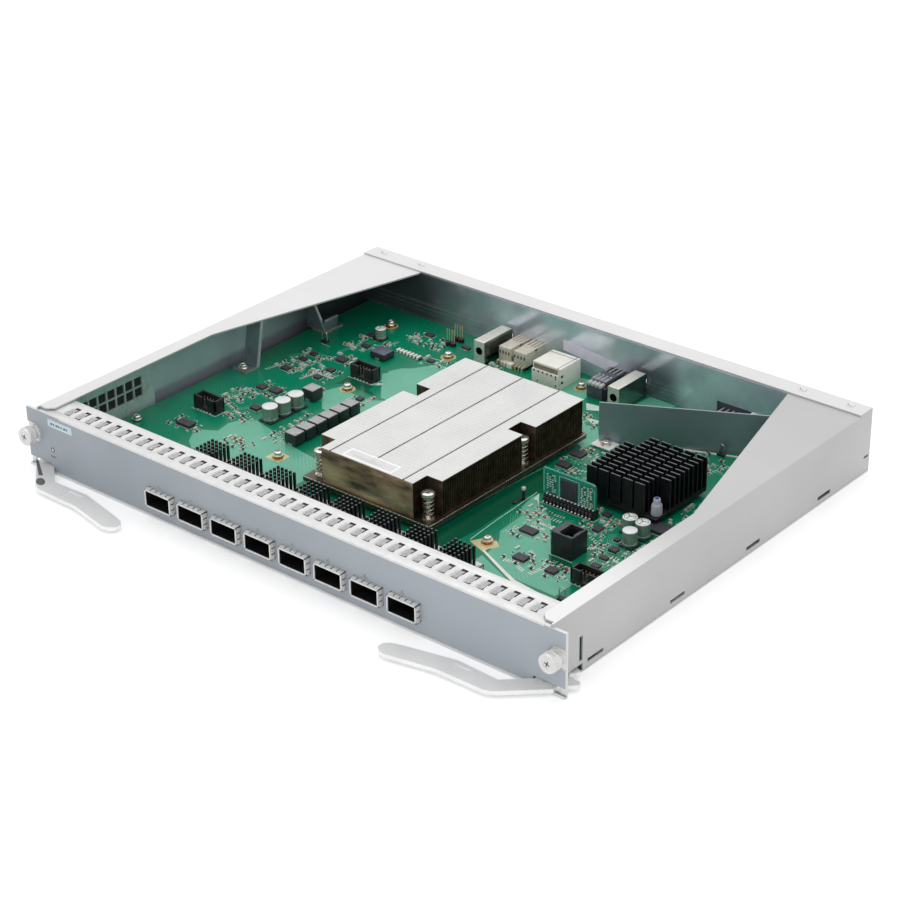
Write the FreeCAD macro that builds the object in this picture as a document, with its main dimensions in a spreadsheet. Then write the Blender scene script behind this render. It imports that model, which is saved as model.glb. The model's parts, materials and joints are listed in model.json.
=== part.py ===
import FreeCAD, Part
import math
import os

import Sketcher
from FreeCAD import Placement, Rotation, Vector

os.makedirs("parts", exist_ok=True)
doc = FreeCAD.newDocument("line_card")
sheet = doc.addObject("Spreadsheet::Sheet", "Sizes")

# Sizes in mm. X runs along the front panel, Y from its front face to the rear, Z up from the tray.
sizes = {
    "ear_reach": 8.5, "panel_height": 38.0, "panel_thick": 0.8,
    "case_width": 382.0, "case_depth": 300.0, "case_height": 40.0, "metal": 1.2,
    "lip_reach": 1.0, "wall_return": 6.0,
    "ear_tab": 3.6, "screw_inset": 5.6, "screw_level": 22.2, "notch_radius": 6.1,
    "lever_notch_reach": 21.0, "lever_notch_top": 5.6, "lamp_inset": 20.7, "lamp_level": 15.4,
    "flange_strip": 10.3, "flange_rear_reach": 52.5, "taper_start": 135.0, "flange_front": 2.7,
    "rear_strip": 13.0, "rear_screw_inset": 11.5, "rear_screw_pitch": 32.5,
    "finger_depth": 22.2, "finger_front": 0.3, "finger_thick": 0.8, "finger_pitch": 8.3,
    "port_count": 8, "port_pitch": 26.0, "port_first": -87.5, "port_inner_width": 18.4,
    "port_inner_height": 9.0, "cage_wall": 0.9, "cage_front": 3.8, "cage_length": 55.8, "port_gap": 0.4,
    "port_sink_start": 26.0, "port_sink_length": 22.5, "port_sink_width": 19.6, "port_sink_base": 1.8,
    "port_sink_top": 33.1, "port_pin": 1.6, "port_pins_across": 5, "port_pins_along": 5,
    "standoff_height": 4.8, "board_thick": 2.0, "board_margin": 5.8, "board_front": 7.0, "board_rear_gap": 6.0,
    "sink_left": -42.0, "sink_right": 48.4, "sink_front": 72.4, "sink_rear": 213.0, "sink_top": 36.0,
    "sink_base_thick": 3.0, "sink_base_margin": 2.4, "chip_thick": 3.2, "chip_side": 55.0,
    "sink_pocket_wide": 11.0, "sink_pocket_long": 12.0, "sink_middle": 161.5,
    "fin_thick": 0.6, "fin_count": 41, "fin_skin": 0.6,
    "cross_left": 94.0, "cross_right": 142.0, "cross_front": 156.0, "cross_rear": 205.0,
    "cross_top": 32.0, "cross_base_thick": 2.4, "cross_columns": 6, "cross_rows": 12,
    "cross_fin_thick": 1.0, "cross_fin_gap": 2.0, "control_side": 35.0, "control_thick": 2.6,
    "pivot_inset": 7.0, "pivot_depth": 6.0, "pivot_radius": 2.5, "lever_thick": 2.5, "lever_lift": 0.2,
    "pivot_clearance": 0.06,
    "knob_radius": 5.6, "knob_front": 8.6, "knob_length": 5.2, "knob_roof": 1.8, "screw_travel": 3.0,
    "shank_radius": 1.5, "ferrule_radius": 4.2, "ferrule_front": 3.7, "ferrule_tail": 2.4, "ferrule_rear": 5.5,
}
# Sizes that follow from the ones above.
derived = {
    "panel_half": "=case_width / 2 + ear_reach", "panel_left": "=-case_width / 2 - ear_reach",
    "wall_outer": "=case_width / 2", "wall_left": "=-case_width / 2", "wall_inner": "=case_width / 2 - metal",
    "lip_front": "=-lip_reach", "wall_rear": "=panel_thick + metal", "flange_under": "=case_height - metal",
    "screw_x": "=case_width / 2 + ear_reach - screw_inset", "screw_left": "=screw_inset - ear_reach - case_width / 2",
    "notch_low": "=screw_level - notch_radius", "notch_high": "=screw_level + notch_radius",
    "slot_inner": "=case_width / 2 + ear_reach - lever_notch_reach",
    "slot_left": "=lever_notch_reach - ear_reach - case_width / 2",
    "flange_edge": "=case_width / 2 - flange_strip", "flange_rear_edge": "=case_width / 2 - flange_rear_reach",
    "rear_inner": "=case_depth - metal", "strip_front": "=case_depth - rear_strip",
    "board_under": "=metal + standoff_height", "board_top": "=metal + standoff_height + board_thick",
    "board_right": "=case_width / 2 - metal - board_margin", "board_left": "=board_margin + metal - case_width / 2",
    "board_rear": "=case_depth - metal - board_rear_gap",
    "port_outer_width": "=port_inner_width + 2 * cage_wall",
    "port_outer_height": "=port_inner_height + 2 * cage_wall",
    "cage_top": "=board_top + port_outer_height",
    "port_hole_left": "=port_first - port_outer_width / 2 - port_gap",
    "port_hole_right": "=port_first + port_outer_width / 2 + port_gap",
    "port_hole_low": "=board_top - port_gap", "port_hole_high": "=cage_top + port_gap",
    "port_run": "=(port_count - 1) * port_pitch",
    "sink_base_low": "=board_top + chip_thick", "fins_low": "=board_top + chip_thick + sink_base_thick",
    "plate_left": "=sink_left - sink_base_margin", "plate_right": "=sink_right + sink_base_margin",
    "plate_front": "=sink_front - sink_base_margin", "plate_rear": "=sink_rear",
    "sink_center": "=(sink_left + sink_right) / 2",
    "pivot_x": "=case_width / 2 - pivot_inset",
}


def writeSizes():
    for row, (name, value) in enumerate(list(sizes.items()) + list(derived.items()), start=1):
        sheet.set("A%d" % row, name)
        sheet.set("B%d" % row, str(value))
        sheet.setAlias("B%d" % row, name)
    doc.recompute()


writeSizes()


def size(name):
    return float(sheet.get(name))


def addRectangle(sketch, left, right, low, high):
    corners = [(left, low), (right, low), (right, high), (left, high)]
    points = [Vector(size(a), size(b), 0) for a, b in corners]
    first = sketch.GeometryCount
    for index in range(4):
        sketch.addGeometry(Part.LineSegment(points[index], points[(index + 1) % 4]), False)
    for index in range(4):
        following = first + (index + 1) % 4
        sketch.addConstraint(Sketcher.Constraint("Coincident", first + index, 2, following, 1))
    for index in (0, 2):
        sketch.addConstraint(Sketcher.Constraint("Horizontal", first + index))
        sketch.addConstraint(Sketcher.Constraint("Vertical", first + index + 1))
    bounds = [("DistanceX", first, left), ("DistanceY", first, low),
              ("DistanceX", first + 2, right), ("DistanceY", first + 2, high)]
    for kind, line, alias in bounds:
        number = sketch.addConstraint(Sketcher.Constraint(kind, -1, 1, line, 1, size(alias)))
        sketch.setExpression("Constraints[%d]" % number, "Sizes." + alias)


def addSketch(body, name, role, level=None):
    sketch = body.newObject("Sketcher::SketchObject", name)
    plane = [item for item in body.Origin.OriginFeatures if item.Role == role][0]
    sketch.AttachmentSupport = [(plane, "")]
    sketch.MapMode = "FlatFace"
    if level:
        sketch.setExpression("AttachmentOffset.Base.z", "Sizes." + level)
    return sketch


def addPad(body, sketch, name, length, backward=False):
    pad = body.newObject("PartDesign::Pad", name)
    pad.Profile = sketch
    pad.setExpression("Length", "Sizes." + length)
    pad.Reversed = backward
    doc.recompute()
    return pad


def addPocket(body, sketch, name):
    pocket = body.newObject("PartDesign::Pocket", name)
    pocket.Profile = sketch
    pocket.Type = "ThroughAll"
    pocket.Midplane = True
    doc.recompute()
    return pocket


nodes = []


def keep(item, label):
    item.Label = label
    nodes.append(item)
    return item


def keepShape(shape, label):
    item = doc.addObject("Part::Feature", label)
    item.Shape = shape
    return keep(item, label)


def block(x0, x1, y0, y1, z0, z1):
    return Part.makeBox(x1 - x0, y1 - y0, z1 - z0, Vector(x0, y0, z0))


def rodUp(x, y, z0, z1, radius):
    return Part.makeCylinder(radius, z1 - z0, Vector(x, y, z0), Vector(0, 0, 1))


def rodBack(x, z, y0, y1, radius):
    return Part.makeCylinder(radius, y1 - y0, Vector(x, y0, z), Vector(0, 1, 0))


def hexagon(x, y, z0, z1, across):
    corners = [math.radians(60 * index) for index in range(6)]
    radius = across / math.sqrt(3)
    return plate([(x + radius * math.cos(angle), y + radius * math.sin(angle)) for angle in corners], z0, z1)


def plate(points, z0, z1):
    corners = [Vector(x, y, z0) for x, y in points]
    face = Part.Face(Part.makePolygon(corners + corners[:1]))
    return face.extrude(Vector(0, 0, z1 - z0))


def profileAcross(points, x0, x1):
    corners = [Vector(x0, y, z) for y, z in points]
    face = Part.Face(Part.makePolygon(corners + corners[:1]))
    return face.extrude(Vector(x1 - x0, 0, 0))


def joined(shapes):
    return shapes[0].fuse(shapes[1:]).removeSplitter()


def mirrored(shape):
    return shape.mirror(Vector(0, 0, 0), Vector(1, 0, 0))


def group(shapes):
    return Part.makeCompound(shapes)


metal = size("metal")
half = size("panel_half")
panelThick = size("panel_thick")
wallRear = size("wall_rear")
wallOuter = size("wall_outer")
wallInner = size("wall_inner")
boardTop = size("board_top")
boardUnder = size("board_under")
caseHeight = size("case_height")
flangeUnder = size("flange_under")
rearInner = size("rear_inner")
caseDepth = size("case_depth")
pivotX = size("pivot_x")
pivotY = size("pivot_depth")
screwX = size("screw_x")
screwZ = size("screw_level")
portCenters = [size("port_first") + index * size("port_pitch") for index in range(int(size("port_count")))]


def makeTray():
    body = doc.addObject("PartDesign::Body", "tray_shell")
    floor = addSketch(body, "tray_outline", "XY_Plane")
    addRectangle(floor, "wall_left", "wall_outer", "panel_thick", "case_depth")
    addPad(body, floor, "tray_floor", "metal")
    lip = addSketch(body, "lip_outline", "XY_Plane")
    addRectangle(lip, "panel_left", "panel_half", "lip_front", "wall_rear")
    body.Tip = addPad(body, lip, "tray_lip", "metal")
    doc.recompute()
    top = size("panel_height")
    slotTop = size("lever_notch_top")
    frontWall = block(-wallInner, wallInner, panelThick, wallRear, 0, top)
    wallReturn = block(-wallInner, wallInner, panelThick, size("wall_return"), top - metal, top)
    slots = [block(start, start + wallInner, panelThick - 1, wallRear + 1, metal, slotTop)
             for start in (size("slot_inner"), size("slot_left") - wallInner)]
    reach = size("port_outer_width") / 2 + size("port_gap")
    low, high = size("port_hole_low"), size("port_hole_high")
    ports = [block(center - reach, center + reach, panelThick - 1, wallRear + 1, low, high)
             for center in portCenters]
    holes = slots + ports + lightHoles(panelThick - 1, wallRear + 1)
    shape = joined([body.Shape, frontWall, wallReturn]).cut(holes)
    keepShape(shape, "bottom_tray")


def sideFlange():
    edge = size("flange_edge")
    front = size("flange_front")
    round_ = 4.0
    points = [(wallOuter, front), (edge + round_, front), (edge, front + round_),
              (edge, size("taper_start")), (size("flange_rear_edge"), rearInner), (wallOuter, rearInner)]
    return plate(points, flangeUnder, caseHeight)


def makeSideCovers():
    wall = block(wallInner, wallOuter, panelThick, rearInner, metal, caseHeight)
    foot = block(wallInner - 5.0, wallInner, 40.0, rearInner - 12.0, metal, 2 * metal)
    cuts = [block(wallInner - 1, wallOuter + 1, 0, 25.5, metal - 1, 5.0),
            block(wallInner - 1, wallOuter + 1, 22.6, 25.2, 7.0, 21.6),
            block(wallInner - 1, wallOuter + 1, rearInner - 5, rearInner + 1, 10.0, 17.0)]
    for start in (29.5, 101.5, 173.0, 245.0):
        cuts.append(block(wallInner - 1, wallOuter + 1, start, start + 13.5, 3.2, 5.6))
    right = joined([wall, foot, sideFlange()]).cut(cuts)
    left = mirrored(right)
    vents = []
    for row in range(2):
        for column in range(8):
            y = 76.0 - 7.3 * column
            z = 22.8 - 7.0 * row
            vents.append(block(-wallOuter - 1, -wallInner + 1, y, y + 6.2, z, z + 6.2))
    keepShape(left.cut(vents), "left_side_cover")
    keepShape(right, "right_side_cover")
    ear = block(wallOuter, half, panelThick, wallRear, metal, size("panel_height"))
    slotTop = size("lever_notch_top")
    leverSlot = block(wallOuter - 1, half - size("ear_tab"), panelThick - 1, wallRear + 1, 0, slotTop)
    screwHole = rodBack(screwX, screwZ, panelThick - 1, wallRear + 1, size("ferrule_tail") + 0.05)
    ear = ear.cut([leverSlot, screwHole])
    keepShape(group([mirrored(ear), ear]), "panel_ears")


def makeRearFrame():
    wall = block(-wallOuter, wallOuter, rearInner, caseDepth, metal, caseHeight)
    strip = block(-wallOuter, wallOuter, size("strip_front"), caseDepth, caseHeight, caseHeight + metal)
    openings = [block(-75.0, 47.0, rearInner - 1, caseDepth + 1, boardTop + 0.5, 27.0),
                block(91.0, 121.0, rearInner - 1, caseDepth + 1, boardTop + 0.5, 22.0)]
    keepShape(joined([wall, strip]).cut(openings), "rear_frame")
    heads = []
    inset = size("rear_screw_inset")
    second = inset + size("rear_screw_pitch")
    for x in (-wallOuter + inset, -wallOuter + second, wallOuter - second, wallOuter - inset):
        top = caseHeight + metal
        heads.append(rodUp(x, size("strip_front") + 7.5, top, top + 0.7, 2.6))
    keepShape(group(heads), "frame_rivets")


def makeFrontPanel():
    body = doc.addObject("PartDesign::Body", "panel_plate")
    outline = addSketch(body, "panel_outline", "XZ_Plane")
    addRectangle(outline, "panel_left", "panel_half", "metal", "panel_height")
    face = addPad(body, outline, "panel_face", "panel_thick", True)
    if face.Shape.BoundBox.YMin < -0.01:
        face.Reversed = False
        doc.recompute()
    notches = addSketch(body, "notch_outline", "XZ_Plane")
    addRectangle(notches, "screw_x", "panel_half", "notch_low", "notch_high")
    addRectangle(notches, "panel_left", "screw_left", "notch_low", "notch_high")
    addRectangle(notches, "slot_inner", "panel_half", "metal", "lever_notch_top")
    addRectangle(notches, "panel_left", "slot_left", "metal", "lever_notch_top")
    addPocket(body, notches, "panel_notches")
    port = addSketch(body, "port_outline", "XZ_Plane")
    addRectangle(port, "port_hole_left", "port_hole_right", "port_hole_low", "port_hole_high")
    hole = addPocket(body, port, "port_hole")
    row = body.newObject("PartDesign::LinearPattern", "port_row")
    row.Originals = [hole]
    row.Direction = (port, ["H_Axis"])
    row.setExpression("Length", "Sizes.port_run")
    row.setExpression("Occurrences", "Sizes.port_count")
    body.Tip = row
    doc.recompute()
    radius = size("notch_radius")
    notchEnds = [rodBack(x, screwZ, -1, panelThick + 1, radius) for x in (-screwX, screwX)]
    shape = body.Shape.cut(notchEnds + lightHoles(-1, panelThick + 1))
    keepShape(shape, "front_panel")


def lightHoles(y0, y1):
    windows = [windowPrism(center, y0, y1, 0.25) for center in portCenters]
    windows.append(rodBack(size("lamp_inset") - half, size("lamp_level"), y0, y1, 1.3))
    return windows


def windowPrism(center, y0, y1, grow):
    low = size("cage_top") + 1.3 - grow
    x = center - 2.0
    corners = [Vector(x - 1.9 - grow, y0, low), Vector(x + 1.9 + grow, y0, low), Vector(x, y0, low + 2.6 + 2 * grow)]
    face = Part.Face(Part.makePolygon(corners + corners[:1]))
    return face.extrude(Vector(0, y1 - y0, 0))


def makeFingerStrip():
    low = size("panel_height")
    reach = wallInner - 0.4
    front = size("finger_front")
    rear = size("finger_depth")
    strip = block(-reach, reach, front, rear, low, low + size("finger_thick"))
    pitch = size("finger_pitch")
    count = int((2 * reach - 30.0) / pitch)
    start = -(count - 1) * pitch / 2
    slots = []
    arches = []
    for index in range(count):
        x = start + index * pitch
        slots.append(block(x - 2.4, x + 2.4, rear - 6.4, rear - 5.0, low - 1, low + 2))
        slots.append(block(x - 2.4, x + 2.4, front + 5.6, front + 6.6, low - 1, low + 2))
        top = low + size("finger_thick")
        ridge = [(front + 7.2, top - 0.1), (front + 9.4, top + 0.9), (rear - 8.8, top + 0.9), (rear - 7.0, top - 0.1)]
        arches.append(profileAcross(ridge, x - 2.2, x + 2.2))
    keepShape(joined([strip.cut(slots)] + arches), "emi_finger_strip")


def makeCages():
    top = size("cage_top")
    width = size("port_outer_width")
    wall = size("cage_wall")
    front = -size("cage_front")
    rear = front + size("cage_length")
    connectors = []
    pipes = []
    for number, center in enumerate(portCenters, start=1):
        left = center - width / 2
        right = center + width / 2
        shell = block(left, right, front, rear, boardTop, top)
        cavity = block(left + wall, right - wall, front - 1, rear - wall, boardTop + wall, top - wall)
        rim = block(left - 0.3, right + 0.3, front, front + 0.9, boardTop, top + 0.3)
        fingers = []
        for offset in (-6.6, -2.2, 2.2, 6.6):
            fingers.append(profileAcross([(front + 0.8, top - 0.1), (-0.9, top + 0.35), (-0.2, top - 0.1)],
                                         center + offset - 1.6, center + offset + 1.6))
        for offset in (2.6, 7.6):
            for edge, swell in ((left, -0.35), (right, 0.35)):
                points = [(edge - swell * 0.3, front + 0.8), (edge + swell, -0.9), (edge - swell * 0.3, -0.2)]
                fingers.append(plate(points, boardTop + offset - 1.5, boardTop + offset + 1.5))
        cage = joined([shell, rim] + fingers).cut(cavity)
        keepShape(cage, "port_cage_%d" % number)
        plug = block(center - 8.4, center + 8.4, rear - wall - 9.0, rear - wall, boardTop + wall, boardTop + wall + 6.0)
        mouth = block(center - 6.9, center + 6.9, rear - wall - 10.0, rear - wall - 3.0,
                      boardTop + wall + 2.2, boardTop + wall + 3.8)
        connectors.append(plug.cut(mouth))
        bar = block(center - 3.4, center - 0.6, wallRear + 0.3, size("port_sink_start") - 1.5, top, top + 4.4)
        pipes.append(joined([bar, windowPrism(center, 0.2, wallRear + 0.5, 0)]))
    keepShape(group(connectors), "port_connectors")
    keepShape(group(pipes), "light_pipes")


def makePortSinks():
    low = size("cage_top")
    start = size("port_sink_start")
    length = size("port_sink_length")
    width = size("port_sink_width")
    base = low + size("port_sink_base")
    pin = size("port_pin")
    across = int(size("port_pins_across"))
    along = int(size("port_pins_along"))
    stepX = (width - pin) / (across - 1)
    stepY = (length - pin) / (along - 1)
    for number, center in enumerate(portCenters, start=1):
        left = center - width / 2
        parts = [block(left, left + width, start, start + length, low, base)]
        for column in range(across):
            for row in range(along):
                x = left + column * stepX
                y = start + row * stepY
                parts.append(block(x, x + pin, y, y + pin, base - 0.2, size("port_sink_top")))
        keepShape(joined(parts), "port_heatsink_%d" % number)


def standoffPoints():
    rearLine = size("board_rear")
    sideLine = size("board_right")
    return [(-79.6, 85.9), (-108.1, 177.8), (-89.6, rearLine - 34.3), (-148.1, rearLine - 28.6), (79.3, 85.8),
            (4.0, rearLine - 23.5), (62.2, rearLine - 75.9), (sideLine - 8.0, 60.0), (sideLine - 8.0, 220.0),
            (-sideLine + 3.5, 158.5),
            (-sideLine + 3.5, 236.0), (-sideLine + 8.0, 60.0), (sideLine - 14.0, rearLine - 12.0)]


def footThickness():
    feet = {6: 1.0, 9: 1.2, 10: 1.2}
    return [feet.get(index, 0.0) for index in range(len(standoffPoints()))]


def makeBoard():
    body = doc.addObject("PartDesign::Body", "board_plate")
    outline = addSketch(body, "board_outline", "XY_Plane", "board_under")
    addRectangle(outline, "board_left", "board_right", "board_front", "board_rear")
    body.Tip = addPad(body, outline, "board_pad", "board_thick")
    holes = [rodUp(x, y, boardUnder - 1, boardTop + 1, 1.7) for x, y in standoffPoints()]
    for x, y in sinkScrewPoints():
        holes.append(rodUp(x, y, boardUnder - 1, boardTop + 1, 1.9))
    keepShape(body.Shape.cut(holes), "main_board")
    posts = []
    screws = []
    for (x, y), foot in zip(standoffPoints(), footThickness()):
        posts.append(hexagon(x, y, metal, boardUnder, 5.5).cut(rodUp(x, y, metal + 0.5, boardUnder + 1, 1.5)))
        seat = boardTop + foot
        washer = rodUp(x, y, seat, seat + 0.7, 3.4)
        head = rodUp(x, y, seat + 0.7, seat + 2.9, 2.6)
        shank = rodUp(x, y, boardUnder - 3.0, seat + 0.7, 1.4)
        screws.append(joined([washer, head, shank]))
    keepShape(group(posts), "board_standoffs")
    keepShape(group(screws), "board_screws")


def sinkScrewPoints():
    left = size("sink_left") + 5.0
    right = size("sink_right") - 5.0
    front = size("sink_front") + 5.6
    middle = size("sink_middle")
    return [(left, front), (right, front), (left, middle), (right, middle)]


def sinkPockets(grow):
    left = size("sink_left")
    right = size("sink_right")
    front = size("sink_front")
    wide = size("sink_pocket_wide") + grow
    deep = size("sink_pocket_long")
    middle = size("sink_middle")
    low = size("fins_low") - 1
    high = size("sink_top") + 1
    return [block(left - 1, left + wide, front - 1, front + deep, low, high),
            block(right - wide, right + 1, front - 1, front + deep, low, high),
            block(left - 1, left + wide, middle - deep / 2, middle + deep / 2, low, high),
            block(right - wide, right + 1, middle - deep / 2, middle + deep / 2, low, high)]


def makeMainSink():
    body = doc.addObject("PartDesign::Body", "sink_plate")
    outline = addSketch(body, "plate_outline", "XY_Plane", "sink_base_low")
    addRectangle(outline, "plate_left", "plate_right", "plate_front", "plate_rear")
    body.Tip = addPad(body, outline, "plate_pad", "sink_base_thick")
    holes = [rodUp(x, y, size("board_top"), size("fins_low") + 1, 1.9) for x, y in sinkScrewPoints()]
    keepShape(body.Shape.cut(holes), "heatsink_base")
    low = size("fins_low")
    top = size("sink_top")
    skin = size("fin_skin")
    front = size("sink_front")
    count = int(size("fin_count"))
    fin = size("fin_thick")
    pitch = (size("sink_rear") - front - fin) / (count - 1)
    outer = [(front, low), (size("sink_rear"), low), (size("sink_rear"), top), (front, top)]
    wires = [Part.makePolygon([Vector(size("sink_left"), y, z) for y, z in outer + outer[:1]])]
    for index in range(count - 1):
        y0 = front + index * pitch + fin
        y1 = front + (index + 1) * pitch
        hole = [(y0, low + skin), (y1, low + skin), (y1, top - skin), (y0, top - skin)]
        wires.append(Part.makePolygon([Vector(size("sink_left"), y, z) for y, z in hole + hole[:1]]))
    face = Part.Face(wires[0])
    comb = face.cut([Part.Face(wire) for wire in wires[1:]])
    solid = comb.Faces[0].extrude(Vector(size("sink_right") - size("sink_left"), 0, 0))
    keepShape(solid.cut(sinkPockets(0)), "heatsink_fins")
    chip = size("chip_side")
    center = size("sink_center")
    middle = (front + size("sink_rear")) / 2
    body = [block(center - chip / 2, center + chip / 2, middle - chip / 2, middle + chip / 2, boardTop, boardTop + 1.6),
            block(center - chip / 2 + 6, center + chip / 2 - 6, middle - chip / 2 + 6, middle + chip / 2 - 6,
                  boardTop + 1.5, size("sink_base_low"))]
    keepShape(joined(body), "switch_chip")
    screws = []
    springs = []
    for x, y in sinkScrewPoints():
        head = rodUp(x, y, 27.6, 30.4, 4.0)
        shank = rodUp(x, y, boardUnder - 2.0, 27.7, 1.7)
        spacer = hexagon(x, y, boardTop, size("sink_base_low"), 6.4)
        nut = hexagon(x, y, boardUnder - 2.0, boardUnder, 6.0)
        screws.append(joined([head, shank, spacer, nut]))
        outerSpring = rodUp(x, y, low, 27.6, 3.6)
        springs.append(outerSpring.cut(rodUp(x, y, low - 1, 29, 2.9)))
    keepShape(group(screws), "heatsink_screws")
    keepShape(group(springs), "heatsink_springs")


def makeCrossSink():
    left = size("cross_left")
    right = size("cross_right")
    front = size("cross_front")
    rear = size("cross_rear")
    base = boardTop + size("control_thick")
    floor = base + size("cross_base_thick")
    columns = int(size("cross_columns"))
    rows = int(size("cross_rows"))
    gap = size("cross_fin_gap")
    fin = size("cross_fin_thick")
    length = (right - left - (columns - 1) * gap) / columns
    step = (rear - front - fin) / (rows - 1)
    parts = [block(left, right, front, rear, base, floor)]
    for column in range(columns):
        for row in range(rows):
            nearPinRight = column == columns - 1 and row < 3
            nearPinLeft = column == 0 and row > rows - 4
            if nearPinRight or nearPinLeft:
                continue
            x = left + column * (length + gap)
            y = front + row * step
            parts.append(block(x, x + length, y, y + fin, floor - 0.2, size("cross_top")))
    pins = [(right - 3.6, front + 5.8), (left + 3.6, rear - 5.8)]
    holes = [rodUp(x, y, base - 1, floor + 1, 2.0) for x, y in pins]
    keepShape(joined(parts).cut(holes), "pin_fin_heatsink")
    shapes = []
    for x, y in pins:
        sleeve = rodUp(x, y, floor, 19.6, 3.3)
        cap = rodUp(x, y, 19.5, 23.0, 2.2)
        shank = rodUp(x, y, boardTop, floor + 0.1, 1.8)
        shapes.append(joined([sleeve, cap, shank]))
    keepShape(group(shapes), "push_pins")
    center = (left + right) / 2
    middle = (front + rear) / 2
    side = size("control_side")
    keepShape(block(center - side / 2, center + side / 2, middle - side / 2, middle + side / 2, boardTop, base),
              "control_chip")


def leverOutline():
    offset = pivotX - 184.0
    points = [(179.6, 0.6), (166.0, -12.0), (139.5, -10.8), (107.0, -18.0), (101.0, -20.0), (98.2, -23.0),
              (98.4, -26.5), (101.5, -29.4), (106.0, -30.2), (135.0, -24.2), (166.0, -23.8), (169.5, -22.6),
              (172.5, -20.6), (193.0, -1.6), (193.6, 3.0), (199.0, 7.2), (200.8, 9.6), (199.6, 12.4), (192.5, 12.5),
              (190.5, 15.0), (193.2, 17.2), (193.8, 20.0), (190.0, 22.0), (184.0, 20.5), (180.0, 15.0), (179.2, 6.0)]
    return [(x + offset, y + pivotY - 6.0) for x, y in points]


def makeLevers():
    low = metal + size("lever_lift")
    high = low + size("lever_thick")
    bore = size("pivot_radius") + size("pivot_clearance")
    right = plate(leverOutline(), low, high).cut(rodUp(pivotX, pivotY, low - 1, high + 1, bore))
    pad = plate([(150.0 + pivotX - 184.0, -14.0), (140.0 + pivotX - 184.0, -14.0),
                 (140.0 + pivotX - 184.0, -21.0), (150.0 + pivotX - 184.0, -21.0)], high - 0.5, high + 0.5)
    right = right.cut(pad)
    keepShape(mirrored(right), "left_ejector")
    keepShape(right, "right_ejector")
    stud = joined([rodUp(pivotX, pivotY, metal, high + 0.2, size("pivot_radius")),
                   rodUp(pivotX, pivotY, high + 0.15, high + 1.0, size("pivot_radius") + 1.7)])
    keepShape(group([mirrored(stud), stud]), "pivot_studs")


def makeCaptiveScrews():
    knobFront = -size("knob_front")
    knobRear = knobFront + size("knob_length")
    roof = knobFront + size("knob_roof")
    radius = size("knob_radius")
    ferruleFront = -size("ferrule_front")
    ferruleRadius = size("ferrule_radius")
    knob = rodBack(screwX, screwZ, knobFront, knobRear, radius)
    cavity = rodBack(screwX, screwZ, roof, knobRear + 1, ferruleRadius + 0.25)
    shank = rodBack(screwX, screwZ, roof - 0.1, size("ferrule_rear") + 0.1, size("shank_radius"))
    depth = knobFront + 1.2
    recess = [block(screwX - 2.6, screwX + 2.6, knobFront - 1, depth, screwZ - 0.55, screwZ + 0.55),
              block(screwX - 0.55, screwX + 0.55, knobFront - 1, depth, screwZ - 2.6, screwZ + 2.6)]
    screw = knob.cut([cavity] + recess).fuse(shank).removeSplitter()
    collar = rodBack(screwX, screwZ, 0.1, panelThick, 5.0)
    barrel = rodBack(screwX, screwZ, ferruleFront, 0.2, ferruleRadius)
    tail = rodBack(screwX, screwZ, panelThick, size("ferrule_rear"), size("ferrule_tail"))
    bore = rodBack(screwX, screwZ, -9, 9, size("shank_radius") + 0.1)
    well = rodBack(screwX, screwZ, -9, -0.5, 3.4)
    ferrule = joined([collar, barrel, tail]).cut([bore, well])
    spring = rodBack(screwX, screwZ, roof, -0.5, 3.1).cut(rodBack(screwX, screwZ, roof - 1, 1, 2.5))
    keepShape(mirrored(screw), "left_captive_screw")
    keepShape(screw, "right_captive_screw")
    keepShape(mirrored(spring), "left_captive_spring")
    keepShape(spring, "right_captive_spring")
    keepShape(group([mirrored(ferrule), ferrule]), "screw_ferrules")


def makeBrackets():
    shapes = []
    for rear in (168.5, 246.0):
        right = -wallInner + 16.0
        left = -wallInner + 5.8 + 0.2
        foot = block(left, right, rear - 15.0, rear, boardTop, boardTop + 1.2)
        post = block(right - metal, right, rear - 9.0, rear, boardTop, flangeUnder)
        tab = block(-wallInner, right, rear - 9.0, rear, flangeUnder - metal, flangeUnder)
        hole = rodUp(-size("board_right") + 3.5, rear - 10.0, boardTop - 1, boardTop + 3, 1.7)
        shapes.append(joined([foot, post, tab]).cut(hole))
    keepShape(group(shapes), "wall_brackets")


def makeBaffle():
    rearLine = size("board_rear")
    start = Vector(56.0, rearLine - 74.8, 0)
    end = Vector(150.0, rearLine - 24.3, 0)
    along = (end - start).normalize()
    side = Vector(-along.y, along.x, 0)
    corners = [start, end, end + side * 1.0, start + side * 1.0]
    wall = plate([(point.x, point.y) for point in corners], boardTop, boardTop + 26.5)
    foot = block(57.0, 68.0, rearLine - 81.3, rearLine - 72.4, boardTop, boardTop + 1.0)
    hole = rodUp(62.2, rearLine - 75.9, boardTop - 1, boardTop + 2, 1.7)
    keepShape(joined([wall, foot]).cut(hole), "air_baffle")


def guideBlock(x0, x1, holeX):
    rear = rearInner - 14.8
    front = rear - 28.0
    shape = block(x0, x1, front, rear, boardTop, boardTop + 16.0)
    edges = [edge for edge in shape.Edges if abs(edge.BoundBox.ZMin - boardTop - 16.0) < 0.01]
    shape = shape.makeFillet(0.8, edges)
    return shape.cut(rodBack(holeX, boardTop + 9.0, front - 1, rear + 1, 2.6))


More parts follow.
